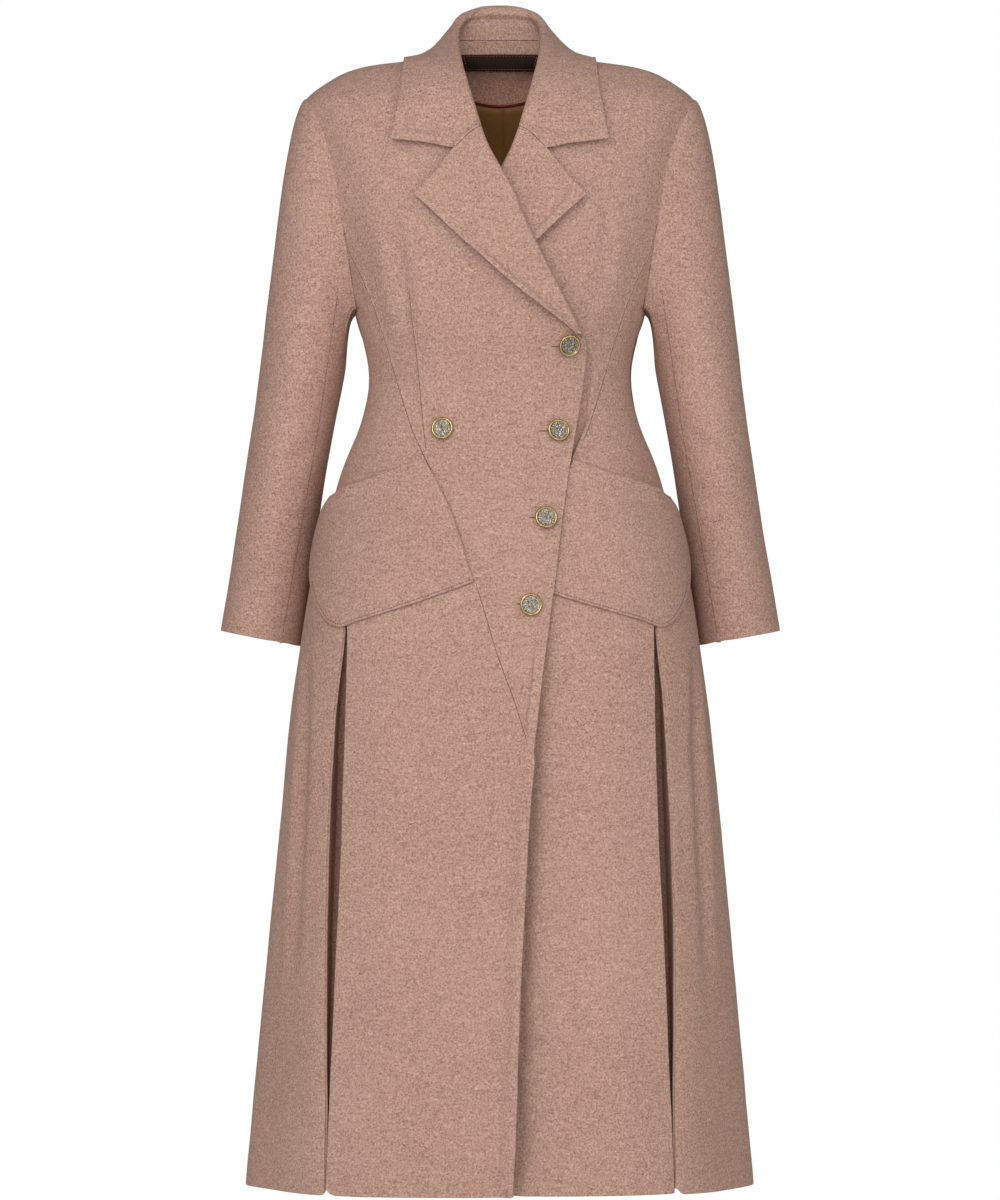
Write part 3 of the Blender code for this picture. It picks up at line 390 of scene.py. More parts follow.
# soft unevenness that runs over all pieces alike, so that seams stay together
handSet = {"broad": (0.0011, 7.0), "fine": (0.00035, 26.0)}


def handOf(points):
    moved = points.copy()
    for height, scale in handSet.values():
        moved += height * np.array([noise.noise_vector(Vector(point * scale)) for point in points])
    return moved


# main creases at the waist and elbows: a line near the cloth, how wide and how deep (metres)
creases = [
    {"wide": 0.012, "deep": 0.0016,
     "line": [(-0.150, -0.03, -0.315), (-0.128, -0.06, -0.340), (-0.098, -0.088, -0.352)]},
    {"wide": 0.011, "deep": 0.0014,
     "line": [(0.148, -0.03, -0.322), (0.130, -0.06, -0.343), (0.104, -0.084, -0.350)]},
    {"wide": 0.013, "deep": 0.0016,
     "line": [(-0.118, 0.07, -0.322), (-0.070, 0.088, -0.338), (-0.020, 0.094, -0.343)]},
    {"wide": 0.012, "deep": 0.0015,
     "line": [(0.122, 0.068, -0.330), (0.060, 0.09, -0.345), (0.015, 0.094, -0.352)]},
    {"wide": 0.012, "deep": 0.0022,
     "line": [(-0.186, -0.032, -0.405), (-0.206, -0.030, -0.425), (-0.236, -0.020, -0.436)]},
    {"wide": 0.011, "deep": 0.0016,
     "line": [(-0.192, -0.028, -0.450), (-0.220, -0.024, -0.462), (-0.248, -0.008, -0.468)]},
    {"wide": 0.012, "deep": 0.0020,
     "line": [(0.190, -0.030, -0.400), (0.214, -0.032, -0.416), (0.240, -0.020, -0.430)]},
    {"wide": 0.012, "deep": 0.0015,
     "line": [(0.196, -0.026, -0.458), (0.222, -0.022, -0.470), (0.252, -0.006, -0.474)]},
    {"wide": 0.013, "deep": 0.0018,
     "line": [(-0.232, 0.088, -0.398), (-0.246, 0.080, -0.420), (-0.262, 0.060, -0.432)]},
    {"wide": 0.013, "deep": 0.0018,
     "line": [(0.234, 0.088, -0.410), (0.250, 0.078, -0.428), (0.266, 0.058, -0.440)]},
]

# folds of the chest and skirt that the photograph shows, as its pixels
seenCreases = [
    {"line": [(393, 216), (398, 258), (404, 300), (411, 348)], "wide": 0.010, "deep": 0.0034},
    {"line": [(608, 208), (605, 250), (601, 296)], "wide": 0.009, "deep": 0.0022},
    {"line": [(310, 632), (305, 740), (299, 860), (293, 985)], "wide": 0.010, "deep": 0.0052},
    {"line": [(691, 632), (696, 740), (702, 860), (708, 985)], "wide": 0.010, "deep": 0.0056},
]


def cadTree():
    # the solids' own surfaces
    points, faces = [], []
    for node in nodes.values():
        start = len(points)
        points += [node.matrix_world @ vertex.co for vertex in node.data.vertices]
        faces += [[start + spot for spot in face.vertices] for face in node.data.polygons]
    return BVHTree.FromPolygons(points, faces)


solidTree = cadTree()
for crease in seenCreases:
    found = [solidTree.ray_cast(*rayThrough(*pixel))[0] for pixel in crease["line"]]
    creases.append({**crease, "line": [tuple(spot) for spot in found if spot]})


def nearLine(points, line):
    # distance to a line of points, and how far along it
    line = np.array(line)
    best = np.full(len(points), 9.0)
    along = np.zeros(len(points))
    for spot, (start, end) in enumerate(zip(line[:-1], line[1:])):
        way = end - start
        share = np.clip(((points - start) @ way) / (way @ way), 0.0, 1.0)
        reach = np.linalg.norm(points - start - share[:, None] * way, axis=1)
        closer = reach < best
        best = np.where(closer, reach, best)
        along = np.where(closer, (spot + share) / (len(line) - 1), along)
    return best, along


# a crease goes in toward the middle line of the coat or of its sleeve, and its cloth stands up beside it
creaseSet = {
    "sleeveFrom": 0.178,        # metres from the coat's middle
    "sleeveHeights": (-0.64, -0.30),
    "sleeveTop": (0.195, 0.012, -0.2),      # the sleeve's middle line: where it starts and how far it runs
    "sleeveRun": (0.0614, 0.034, 0.4145),
    "ends": 0.04,       # share of its length
    "fade": 0.6,
    "ridgeAt": 1.8,     # widths from the crease
    "ridge": 0.45,
}


def creased(points):
    outward = points * np.array([1.0, 1.0, 0.0])
    top, run = creaseSet["sleeveTop"], creaseSet["sleeveRun"]
    lowest, highest = creaseSet["sleeveHeights"]
    height = points[:, 2]
    low = np.clip((top[2] - height) / run[2], 0.0, 1.0)
    centre = np.stack([np.sign(points[:, 0]) * (top[0] + run[0] * low), top[1] + run[1] * low, height], 1)
    sleeve = (np.abs(points[:, 0]) > creaseSet["sleeveFrom"]) & (height > lowest) & (height < highest)
    outward[sleeve] = (points - centre)[sleeve]
    outward[:, 2] = 0.0
    outward /= np.maximum(np.linalg.norm(outward, axis=1, keepdims=True), 1e-6)
    moved = points.copy()
    for crease in creases:
        reach, along = nearLine(points, crease["line"])
        wide, ends = crease["wide"], creaseSet["ends"]
        fade = np.sin(np.pi * np.clip(along, ends, 1.0 - ends)) ** creaseSet["fade"]
        valley = np.exp(-((reach / wide) ** 2))
        ridge = np.exp(-(((reach - creaseSet["ridgeAt"] * wide) / wide) ** 2))
        moved -= outward * (crease["deep"] * fade * (valley - creaseSet["ridge"] * ridge))[:, None]
    return moved


# edges that stand off the cloth below, or sink: photograph pixels and metres, and how far in the lift reaches
turnUps = [
    {"pieces": ["right_lapel"], "reach": 46.0,
     "edge": [(414, 197, 0.0024), (450, 232, 0.0036), (490, 268, 0.0062), (530, 302, 0.0078),
              (560, 328, 0.0052), (575, 338, 0.0)]},
    {"pieces": ["right_lapel"], "reach": 22.0,
     "edge": [(452, 147, 0.0), (432, 172, 0.0012), (414, 197, 0.0010)]},
    {"pieces": ["left_lapel"], "reach": 34.0,
     "edge": [(548, 148, 0.0), (568, 170, 0.0012), (584, 190, 0.0034), (562, 216, 0.0050),
              (540, 240, 0.0044)]},
    {"pieces": ["collar_fall"], "reach": 40.0,
     "edge": [(408, 60, 0.0), (401, 95, 0.0016), (395, 137, 0.0050), (424, 142, 0.0048), (452, 147, 0.0014)]},
    {"pieces": ["collar_fall"], "reach": 40.0,
     "edge": [(592, 60, 0.0), (599, 95, 0.0016), (605, 137, 0.0050), (576, 142, 0.0048), (548, 147, 0.0014)]},
    {"pieces": ["left_front"], "reach": 28.0,      # sinks a little beside the lap's edge
     "edge": [(584, 325, 0.0), (583, 360, -0.0034), (577, 420, -0.0052), (570, 480, -0.0036),
              (560, 530, 0.0)]},
    {"pieces": ["left_front", "left_skirt_front"], "reach": 34.0,
     "edge": [(546, 620, 0.0), (541, 680, -0.0030), (534, 745, -0.0058), (526, 850, -0.0074),
              (519, 1000, -0.0074), (513, 1195, -0.0060)]},
    {"pieces": ["right_front", "right_skirt_front"], "reach": 60.0,
     "edge": [(546, 620, 0.0), (541, 680, 0.0030), (534, 745, 0.0060), (526, 850, 0.0078),
              (519, 1000, 0.0076), (513, 1195, 0.0060)]},
]


# the lap's top corner rounds off under the lapel's end: pixels drawn in at each height
cornerSet = {
    "rows": [(330.0, 6.0), (336.0, 5.0), (341.0, 2.8), (346.0, 1.2), (353.0, 0.0)],
    "top": 322.0,
    "from": 572.0,
    "over": 12.0,
}


# the pockets' outer top corners hang lower: pixels from the middle and from the top, and metres
pocketDrop = {"from": 85.0, "top": 475.0, "over": 70.0, "drop": 0.0064}


# the hem's corners at the pleats and the lap: pixel across, and the side that the piece lies on
hemCorners = {
    "radius": 6.0,
    "zone": 24.0,
    "right_skirt_side": [(325.9, -1)],
    "right_skirt_front": [(327.8, 1), (515.3, -1)],
    "left_skirt_front": [(677.3, -1)],
    "left_skirt_side": [(678.8, 1)],
}


# the roll along the collar's top, seen inside the neck: the line under it and how far it stands forward
rollSet = {
    "under": [(458.0, 32.0), (461.7, 26.0), (465.0, 22.8), (472.5, 19.5), (483.4, 17.9), (499.6, 17.1),
              (515.9, 17.9), (530.0, 20.0), (537.6, 22.8), (540.0, 26.0), (543.0, 32.0)],
    "stand": 0.0042,    # metres
    "rise": 2.4,        # pixels, from the line up
    "early": 0.3,
    "crest": 4.0,
    "fall": 9.0,
    "half": 42.0,       # pixels to each side of the middle
    "ends": 8.0,
    "behind": 0.02,     # metres: the back of the neck alone
}


def rolled(points, seen):
    under = np.array(rollSet["under"])
    above = np.interp(seen[:, 0], under[:, 0], under[:, 1]) - seen[:, 1]
    aside = np.abs(seen[:, 0] - cameraSet["middle"][0])
    share = smooth(above / rollSet["rise"] + rollSet["early"])
    share = share * (1.0 - smooth((above - rollSet["crest"]) / rollSet["fall"]))
    share *= smooth((rollSet["half"] - aside) / rollSet["ends"]) * (points[:, 1] > rollSet["behind"])
    return points - np.array([0.0, 1.0, 0.0]) * (rollSet["stand"] * share)[:, None]


def seenPixels(points):
    # where the camera sees each point, in pixels of the photograph
    depth = 1.0 - points[:, 1] / cameraSet["place"][1]
    scale = cameraSet["metresPerPixel"]
    return np.stack([cameraSet["middle"][0] + points[:, 0] / depth / scale,
                     cameraSet["middle"][1] - (points[:, 2] - cameraSet["place"][2]) / depth / scale], 1)


def turnedUp(name, points):
    seen = seenPixels(points)
    scale = cameraSet["metresPerPixel"]
    moved = rolled(points, seen) if name == "collar_fall" else points.copy()
    for turnUp in turnUps:
        if name not in turnUp["pieces"]:
            continue
        edge = np.array(turnUp["edge"])
        reach, along = nearLine(seen, edge[:, :2])
        lift = np.interp(along, np.linspace(0.0, 1.0, len(edge)), edge[:, 2])
        lift *= 1.0 - smooth(reach / turnUp["reach"])
        moved[:, 1] -= lift * (points[:, 1] < 0.0)
    for corner, side in hemCorners.get(name, []):
        radius, zone = hemCorners["radius"], hemCorners["zone"]
        inward = np.clip((seen[:, 0] - corner) * side, 0.0, radius)
        hem = seen[np.abs(seen[:, 0] - corner) < zone, 1].max()
        rise = radius - np.sqrt(radius ** 2 - (radius - inward) ** 2)
        moved[:, 2] += rise * scale * (1.0 - smooth((hem - seen[:, 1]) / zone))
    if name.endswith("_pocket"):
        aside = np.abs(seen[:, 0] - cameraSet["middle"][0])
        outer = smooth((aside - pocketDrop["from"]) / pocketDrop["over"])
        outer = outer * (1.0 - smooth((seen[:, 1] - pocketDrop["top"]) / pocketDrop["over"]))
        moved[:, 2] -= pocketDrop["drop"] * outer
    if name == "right_front":
        rows = np.array(cornerSet["rows"])
        drawn = np.interp(seen[:, 1], rows[:, 0], rows[:, 1]) * (seen[:, 1] > cornerSet["top"])
        moved[:, 0] -= drawn * scale * smooth((seen[:, 0] - cornerSet["from"]) / cornerSet["over"])
    return moved


# each piece: how finely it is divided, its cut's width, length and area (metres), and what carries it;
# where a name says side, the coat has one on the right and one on the left
clothSet = {
    "{side}_front": {"levels": 3, "flat": (0.33, 0.80), "area": 0.125, "held": "hung", "on": ["{side}_back"]},
    "{side}_side_body": {"levels": 2, "flat": (0.20, 0.42), "area": 0.0475, "held": "hung",
                         "on": ["{side}_front"]},
    "{side}_skirt_front": {"levels": 2, "flat": (0.27, 0.66), "area": 0.14, "held": "hung",
                           "on": ["{side}_front"]},
    "{side}_skirt_side": {"levels": 2, "flat": (0.27, 0.73), "area": 0.145, "held": "hung",
                          "on": ["{side}_side_body"]},
    "{side}_back": {"levels": 2, "flat": (0.42, 1.24), "area": 0.335, "held": "hung", "on": ["{other}_back"]},
    "{side}_top_sleeve": {"levels": 3, "flat": (0.24, 0.61), "area": 0.11, "held": "hung",
                          "on": ["{side}_back"]},
    "{side}_under_sleeve": {"levels": 2, "flat": (0.13, 0.43), "area": 0.042, "held": "hung",
                            "on": ["{side}_top_sleeve"]},
    "{side}_lapel": {"levels": 3, "flat": (0.12, 0.26), "area": 0.0145, "held": "folded",
                     "on": ["{side}_front"]},
    "collar_fall": {"levels": 3, "flat": (0.46, 0.16), "area": 0.049, "held": "folded",
                    "on": ["collar_stand"]},
    "collar_stand": {"levels": 2, "flat": (0.17, 0.022), "area": 0.0025, "held": "stretched",
                     "on": ["right_back", "left_back"]},
    "{side}_pocket": {"levels": 3, "flat": (0.24, 0.17), "area": 0.03, "held": "laid",
                      "on": ["{side}_side_body"]},
    "back_neck_facing": {"levels": 2, "flat": (0.38, 0.07), "area": 0.0165, "held": "laid",
                         "on": ["right_back", "left_back"]},
    "back_lining": {"levels": 2, "flat": (0.29, 0.20), "area": 0.052, "held": "laid",
                    "on": ["right_back", "left_back"]},
    "label": {"levels": 3, "flat": (0.084, 0.0195), "area": 0.0016, "held": "laid",
              "on": ["back_neck_facing"]},
}
sides = [{"side": "right", "other": "left"}, {"side": "left", "other": "right"}]
slotFinish = {"back_neck_facing": "facing", "back_lining": "lining", "label": "label"}
shells = {}


def addPiece(name, mesh, finish, replaced=()):
    # a second finish goes on the faces marked 1
    marks = [face.material_index for face in mesh.polygons]
    mesh.materials.clear()
    for word in finish.split():
        mesh.materials.append(finishes[word])
    if len(mesh.materials) > 1:
        mesh.polygons.foreach_set("material_index", marks)
    piece = addObject(name, mesh)
    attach(piece, "root")
    if replaced:
        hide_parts(*replaced)
    return piece


def clothShell(name, settings):
    slot = slotFinish.get(name, "wool")
    radius = shellSet["rimRadius"].get(slot)
    mesh = subdivided(cageOf(nodes[name], radius), settings["levels"])
    evened(mesh)
    setPoints(mesh, turnedUp(name, creased(handOf(meshPoints(mesh)))))
    smoothFaces(mesh)
    piece = addPiece(camel(name) + "Cloth", mesh, slot, [name])
    shells[name] = piece
    area = sum(face.area for face in mesh.polygons) / 2
    print("cloth", name, len(mesh.polygons), "faces", round(area, 4), "m2 cut", settings["area"])


for clothName, settings in clothSet.items():
    for words in sides if "{side}" in clothName else [{}]:
        carriers = [carrier.format(**words) for carrier in settings["on"]]
        clothShell(clothName.format(**words), settings)


# sewing and trim, laid on the cloth

def treeOf(*names):
    # the surface of some shells, to lay things on
    points, faces = [], []
    for name in names:
        mesh = shells[name].data
        start = len(points)
        points += [vertex.co.copy() for vertex in mesh.vertices]
        faces += [[start + spot for spot in face.vertices] for face in mesh.polygons]
    return BVHTree.FromPolygons(points, faces)


def hit(tree, start, way):
    spot, normal, _, _ = tree.ray_cast(Vector(start), Vector(way))
    if spot is None:
        return None
    return np.array(spot), np.array(normal if normal.dot(Vector(way)) < 0 else -normal)


def split(found):
    # places and outward directions of the rays that met something
    found = [pair for pair in found if pair]
    return np.array([pair[0] for pair in found]), np.array([pair[1] for pair in found])


def spaced(path, step):
    # points at even steps along a line of points
    path = np.array(path, float)
    along = np.concatenate([[0.0], np.cumsum(np.linalg.norm(np.diff(path, axis=0), axis=1))])
    places = np.linspace(0.0, along[-1], max(2, int(along[-1] / step) + 1))
    return np.stack([np.interp(places, along, column) for column in path.T], 1)


laySet = {
    "neighbours": 5,
    "slip": 0.004,      # metres: a ray that lands so far from its neighbours has slipped through a seam's gap
    "off": 0.00004,     # how far a strip's ends keep off the cloth
}


def laidAlong(tree, path, step=1.0):
    # a line of photograph pixels laid on a surface: places and outward directions
    places, outward = split([hit(tree, *rayThrough(*pixel)) for pixel in spaced(path, step)])
    count = laySet["neighbours"]
    near = [np.median(places[max(0, spot - count): spot + count + 1, 1]) for spot in range(len(places))]
    kept = np.abs(places[:, 1] - near) < laySet["slip"]
    return places[kept], outward[kept]


def unit(vectors):
    return vectors / np.maximum(np.linalg.norm(vectors, axis=-1, keepdims=True), 1e-9)


def gridMesh(name, rows):
    count, wide = rows.shape[:2]
    mesh = bpy.data.meshes.new(name)
    faces = []
    for row in range(count - 1):
        for spot in range(row * wide, row * wide + wide - 1):
            faces.append((spot, spot + 1, spot + wide + 1, spot + wide))
    mesh.from_pydata(rows.reshape(-1, 3).tolist(), [], faces)
    smoothFaces(mesh)
    return mesh


def strip(name, places, outward, section, finish, slot, fade):
    # a ribbon along a line: its section is (across, height) in metres, and it dies away at both ends
    along = unit(np.gradient(places, axis=0))
    across = unit(np.cross(outward, along))
    share = np.linspace(0.0, 1.0, len(places))
    strength = smooth(share / fade) * smooth((1.0 - share) / fade)
    off = laySet["off"]
    rows = []
    for place, side, out, much in zip(places, across, outward, strength):
        rows.append([place + side * wide + out * (off + (high - off) * much) for wide, high in section])
    addPiece(name, gridMesh(name, np.array(rows)), finish)


stitchSet = {"step": 0.0002, "sides": 6, "rings": (0.0, 0.12, 0.32, 0.5, 0.68, 0.88, 1.0)}


def stitched(name, places, outward, stitch, finish, slant=0.0):
    # separate stitches along a line: each a small rounded thread that dips in at both ends
    step, sides = stitchSet["step"], stitchSet["sides"]
    line = spaced(np.concatenate([places, outward], 1) * np.array([1, 1, 1, 1e-4, 1e-4, 1e-4]), step)
    spots, normals = line[:, :3], unit(line[:, 3:])
    along = unit(np.gradient(spots, axis=0))
    across = unit(np.cross(normals, along))
    made = bmesh.new()
    period = int(round((stitch["long"] + stitch["gap"]) / step))
    reach = int(round(stitch["long"] / step))
    for start in range(0, len(spots) - reach, period):
        rings = []
        for share in stitchSet["rings"]:
            spot = start + int(share * (reach - 1))
            girth = math.sqrt(max(0.0, 1.0 - (2 * share - 1) ** 4)) * stitch["thick"] + 2e-5
            rise = stitch["thick"] * (0.5 * math.sin(math.pi * share) - 0.1)
            middle = spots[spot] + normals[spot] * rise + across[spot] * slant * (share - 0.5)
            ring = [middle + girth * (math.cos(turn) * across[spot] + math.sin(turn) * normals[spot])
                    for turn in np.linspace(0, 2 * math.pi, sides + 1)[:-1]]
            rings.append([made.verts.new(point) for point in ring])
        for near, far in zip(rings, rings[1:]):
            for spot in range(sides):
                after = (spot + 1) % sides
                made.faces.new((near[spot], near[after], far[after], far[spot]))
        made.faces.new(rings[0][::-1])
        made.faces.new(rings[-1])
    for face in made.faces:
        face.smooth = True
    bmesh.ops.recalc_face_normals(made, faces=made.faces)
    addPiece(name, meshFrom(made, name), finish)


# buttons: a turned gold rim round a hammered centre, on the axis of the solid each one replaces (metres)
buttonSet = {
    "radius": 0.0118,
    "rimThick": 0.0014,
    "rimHeight": 0.0032,
    "back": [(0.0100, 0.0014), (0.0040, 0.0014), (0.0040, 0.0002)],     # radius and height
    "centreRadius": 0.0089,
    "centreHeight": 0.0031,
    "relief": 0.0012,
    "lump": 700.0,      # lumps a metre
    "lumpTop": 0.7,
    "wear": 0.4,
    "wearScale": 260.0,
    "edge": 0.0012,     # where the relief dies away inside the rim
    "apart": 0.05,      # so that no two centres are alike
    "centreRings": 18,
    "turns": 72,
}


def buttonRings():
    # radius, height, and 1 for the hammered part
    centre, thick = buttonSet["centreRadius"], buttonSet["rimThick"]
    rings = [(reach * centre, buttonSet["centreHeight"], 1)
             for reach in np.linspace(0.0, 1.0, buttonSet["centreRings"] + 1)[1:]]
    middle = buttonSet["radius"] - thick
    for turn in np.radians(np.linspace(180, -40, 12)):
        rings.append((middle + thick * math.cos(turn), buttonSet["rimHeight"] + thick * math.sin(turn), 0))
    return rings + [(reach, rise, 0) for reach, rise in buttonSet["back"]]


def addButton(number):
    node = nodes["button_%d" % number]
    turn, shift = node.matrix_world.to_3x3(), node.matrix_world.translation
    points = meshPoints(node.data) @ np.array(turn).T + np.array(shift)
    axis = np.linalg.svd(points - points.mean(0), full_matrices=False)[2][2]
    axis = axis if axis[1] < 0 else -axis
    side = unit(np.cross(axis, (0.0, 0.0, 1.0)))
    up = np.cross(side, axis)
    turned = np.stack([side, up, axis], 1)
    local = (points - points.mean(0)) @ turned
    base = points.mean(0) + turned @ np.append((local.min(0) + local.max(0))[:2] / 2, local[:, 2].min())
    made = bmesh.new()
    turns = np.linspace(0.0, 2 * math.pi, buttonSet["turns"] + 1)[:-1]

    def place(reach, turn, rise, lumpy):
        flat = Vector((reach * math.cos(turn), reach * math.sin(turn), number * buttonSet["apart"]))
        if lumpy:
            near = noise.voronoi(flat * buttonSet["lump"])[0]
            wear = buttonSet["wear"]
            worn = wear * noise.noise(flat * buttonSet["wearScale"])
            edge = smooth((buttonSet["centreRadius"] - reach) / buttonSet["edge"])
            lump = min(near[1] - near[0], buttonSet["lumpTop"])
            rise += buttonSet["relief"] * (lump + worn - wear / 2) * edge
        return base + side * flat.x + up * flat.y + axis * rise

    centre = made.verts.new(place(0.0, 0.0, buttonSet["centreHeight"], True))
    previous = None
    for reach, rise, part in buttonRings():
        ring = [made.verts.new(place(reach, turn, rise, part == 1)) for turn in turns]
        for spot in range(len(turns)):
            if previous is None:
                face = made.faces.new((centre, ring[spot - 1], ring[spot]))
            else:
                face = made.faces.new((previous[spot - 1], ring[spot - 1], ring[spot], previous[spot]))
            face.material_index = part
            face.smooth = True
        previous = ring
    made.faces.new(previous)
    bmesh.ops.recalc_face_normals(made, faces=made.faces)
    addPiece("button%dMetal" % number, meshFrom(made, "button"), "gold hammered", [node.name])


for number in range(1, 6):
    addButton(number)
print("buttons set")

# worked buttonholes: where each one starts at the left, and the button it runs under (photograph pixels)
holeSet = {
    "spots": [((552.0, 346.5), 566.0), ((538.5, 431.0), 556.0), ((529.5, 517.5), 544.0),
              ((516.5, 604.0), 530.0)],
    "drop": 0.2,
    "step": 0.6,
    # the slit: a near black strip on the cloth, painted shadow of the cut
    "slit": [(-0.0004, 0.0), (-0.0003, 0.00016), (0.0003, 0.00016), (0.0004, 0.0)],
    "slitFade": 0.05,
    "lip": [(0.0004, 0.0), (0.0006, 0.0004), (0.0011, 0.00045), (0.0016, 0.0002), (0.0019, 0.0)],
    "lipFade": 0.1,
}


def addButtonhole(number, start, end):
    path = [start, (end, start[1] + holeSet["drop"])]
    places, outward = laidAlong(treeOf("right_front"), path, holeSet["step"])
    # the slit is painted shadow: a dark strip where the cut opens
    strip("holeSlit%d" % number, places, outward, holeSet["slit"], "slit", None, holeSet["slitFade"])
    for word, side in (("Upper", 1.0), ("Lower", -1.0)):
        section = [(wide * side, high) for wide, high in holeSet["lip"]]
        strip("holeLip%d" % number + word, places, outward, section, "holeThread", None, holeSet["lipFade"])


for number, (start, end) in enumerate(holeSet["spots"], 1):
    addButtonhole(number, start, end)

# the seams and the waist dart (photograph pixels): two pressed lips with a dark line between them, the line
# painted shadow of the seam's groove
seamSet = {
    "lips": [(-0.0034, -0.0001), (-0.0020, 0.0002), (-0.0009, 0.0004), (-0.0004, 0.0003), (-0.00025, 0.0),
             (0.00025, 0.0), (0.0004, 0.0003), (0.0009, 0.0004), (0.0020, 0.0002), (0.0034, -0.0001)],
    # the dark line: painted seam shadow
    "line": [(-0.0005, 0.0001), (-0.0002, 0.00022), (0.0002, 0.00022), (0.0005, 0.0001)],
    # the sleeves' finer line of painted seam shadow
    "fine": [(-0.0003, 0.00006), (-0.0001, 0.00012), (0.0001, 0.00012), (0.0003, 0.00006)],
}
frontSeam = [(346.0, 238.0), (351.3, 257.0), (363.3, 281.0), (374.4, 308.8), (385.5, 342.0), (393.8, 371.7),
             (404.0, 405.0), (412.3, 430.8), (417.2, 441.4), (423.5, 455.4), (431.0, 470.0)]
sleeveSeam = [(337.5, 296.0), (318.0, 430.0), (297.0, 552.0), (283.0, 632.0)]


def mirrored(path):
    return [(2.0 * cameraSet["middle"][0] - px, py) for px, py in path]


# each seam: the pieces it lies on, its line, and the share of it that dies away at each end
seamLines = {
    "rightFrontSeam": (["right_front", "right_side_body"], frontSeam, 0.03),
    "leftFrontSeam": (["left_front", "left_side_body"], mirrored(frontSeam[:9]), 0.03),
    "rightSkirtSeam": (["right_front", "right_skirt_front"],
                       [(476.0, 584.0), (484.0, 610.0), (496.8, 653.6), (514.7, 702.0),
                        (526.2, 739.0)], 0.05),
    "rightDart": (["right_front"],
                  [(408.8, 290.0), (412.2, 322.0), (416.0, 350.0), (419.4, 383.0), (422.0, 413.0),
                   (425.6, 448.0)], 0.25),
    "standSeam": (["collar_fall", "collar_stand"],
                  [(460.5, 40.8), (500.0, 40.6), (539.5, 40.8)], 0.02),
    "rightGorge": (["collar_fall", "right_lapel"],
                   [(481.2, 125.2), (475.8, 127.9), (469.3, 132.8), (461.7, 139.8), (455.5, 146.0)], 0.05),
    "leftGorge": (["collar_fall", "left_lapel"],
                  [(518.6, 125.2), (526.7, 129.0), (533.2, 134.4), (539.7, 141.0), (545.0, 146.0)], 0.05),
}
sleeveLines = {
    "rightSleeveSeam": (["right_top_sleeve", "right_under_sleeve"], sleeveSeam, 0.1),
    "leftSleeveSeam": (["left_top_sleeve", "left_under_sleeve"], mirrored(sleeveSeam), 0.1),
}


def seamLipsAndPaintedShadow(name, places, outward, fade):
    # wool lips, and between them a dark strip of painted shadow where the seam's groove is
    strip(name + "Lips", places, outward, seamSet["lips"], "wool", "wool", fade)
    strip(name + "Line", places, outward, seamSet["line"], "seam", "wool", fade)


for name, (pieces, path, fade) in seamLines.items():
    seamLipsAndPaintedShadow(name, *laidAlong(treeOf(*pieces), path), fade)
# the sleeves' seams: a fine dark strip alone, painted seam shadow
for name, (pieces, path, fade) in sleeveLines.items():
    strip(name, *laidAlong(treeOf(*pieces), path), seamSet["fine"], "seam", "wool", fade)

# the lapel's edge rolls on into the lap's edge (photograph pixels)
rollOn = {
    "path": [(550.0, 313.6), (560.0, 321.4), (568.0, 327.6), (574.5, 333.0), (579.5, 338.8), (582.6, 345.5),
             (583.6, 356.0)],
    "step": 0.8,
    "section": [(-0.0027, -0.0003), (-0.0020, 0.0006), (-0.0008, 0.0012), (0.0008, 0.0012), (0.0020, 0.0006),
                (0.0027, -0.0003)],
    "fade": 0.35,
}
places, outward = laidAlong(treeOf("right_lapel", "right_front"), rollOn["path"], rollOn["step"])
strip("lapelRoll", places, outward, rollOn["section"], "wool", "wool", rollOn["fade"])

# the hidden sides' seams: level rays from outside look for the cloth, at a turn in degrees (metres)
hiddenSet = {
    "sideTurn": 95.4,
    "sideHigh": -0.30,
    "backTurn": 180.0,
    "backHigh": -0.004,
    "backAside": 0.0006,    # keeps the rays off the joint itself
    "low": -1.188,
    "rays": 160,
    "inside": 0.05,         # a ray that lands nearer to the middle has missed the cloth
    "fade": 0.02,
}


def hiddenSeam(name, pieces, turn, high, aside=0.0):
    tree = treeOf(*pieces)
    way = np.array([math.sin(math.radians(turn)), -math.cos(math.radians(turn)), 0.0])
    across = np.array([way[1], -way[0], 0.0]) * aside
    heights = np.linspace(high, hiddenSet["low"], hiddenSet["rays"])
    starts = [way + across + np.array([0.0, 0.0, height]) for height in heights]
    places, outward = split([hit(tree, start, -way) for start in starts])
    kept = np.linalg.norm(places[:, :2], axis=1) > hiddenSet["inside"]
    seamLipsAndPaintedShadow(name, places[kept], outward[kept], hiddenSet["fade"])


hiddenSeam("centreBackSeam", ["right_back", "left_back"], hiddenSet["backTurn"], hiddenSet["backHigh"],
           hiddenSet["backAside"])
for side, turn in (("right", -hiddenSet["sideTurn"]), ("left", hiddenSet["sideTurn"])):
    pieces = [side + "_back", side + "_side_body", side + "_skirt_side"]
    hiddenSeam(side + "SideSeam", pieces, turn, hiddenSet["sideHigh"])

# topstitching inside the pockets' lower edges, found from the pockets themselves (photograph pixels,
# degrees); its thread is darkened with painted shadow of the stitch groove
pocketSet = {
    "middle": {"right_pocket": (395.0, 560.0), "left_pocket": (605.0, 560.0)},
    "turns": {"right_pocket": (13.0, 166.0), "left_pocket": (167.0, 14.0)},
    "rays": 120,
    "reach": 160.0,
    "halvings": 16,
    "spacing": 2.0,
    "inset": 3.0,
    "stitch": {"long": 0.0026, "gap": 0.0006, "thick": 0.00034},    # metres
}


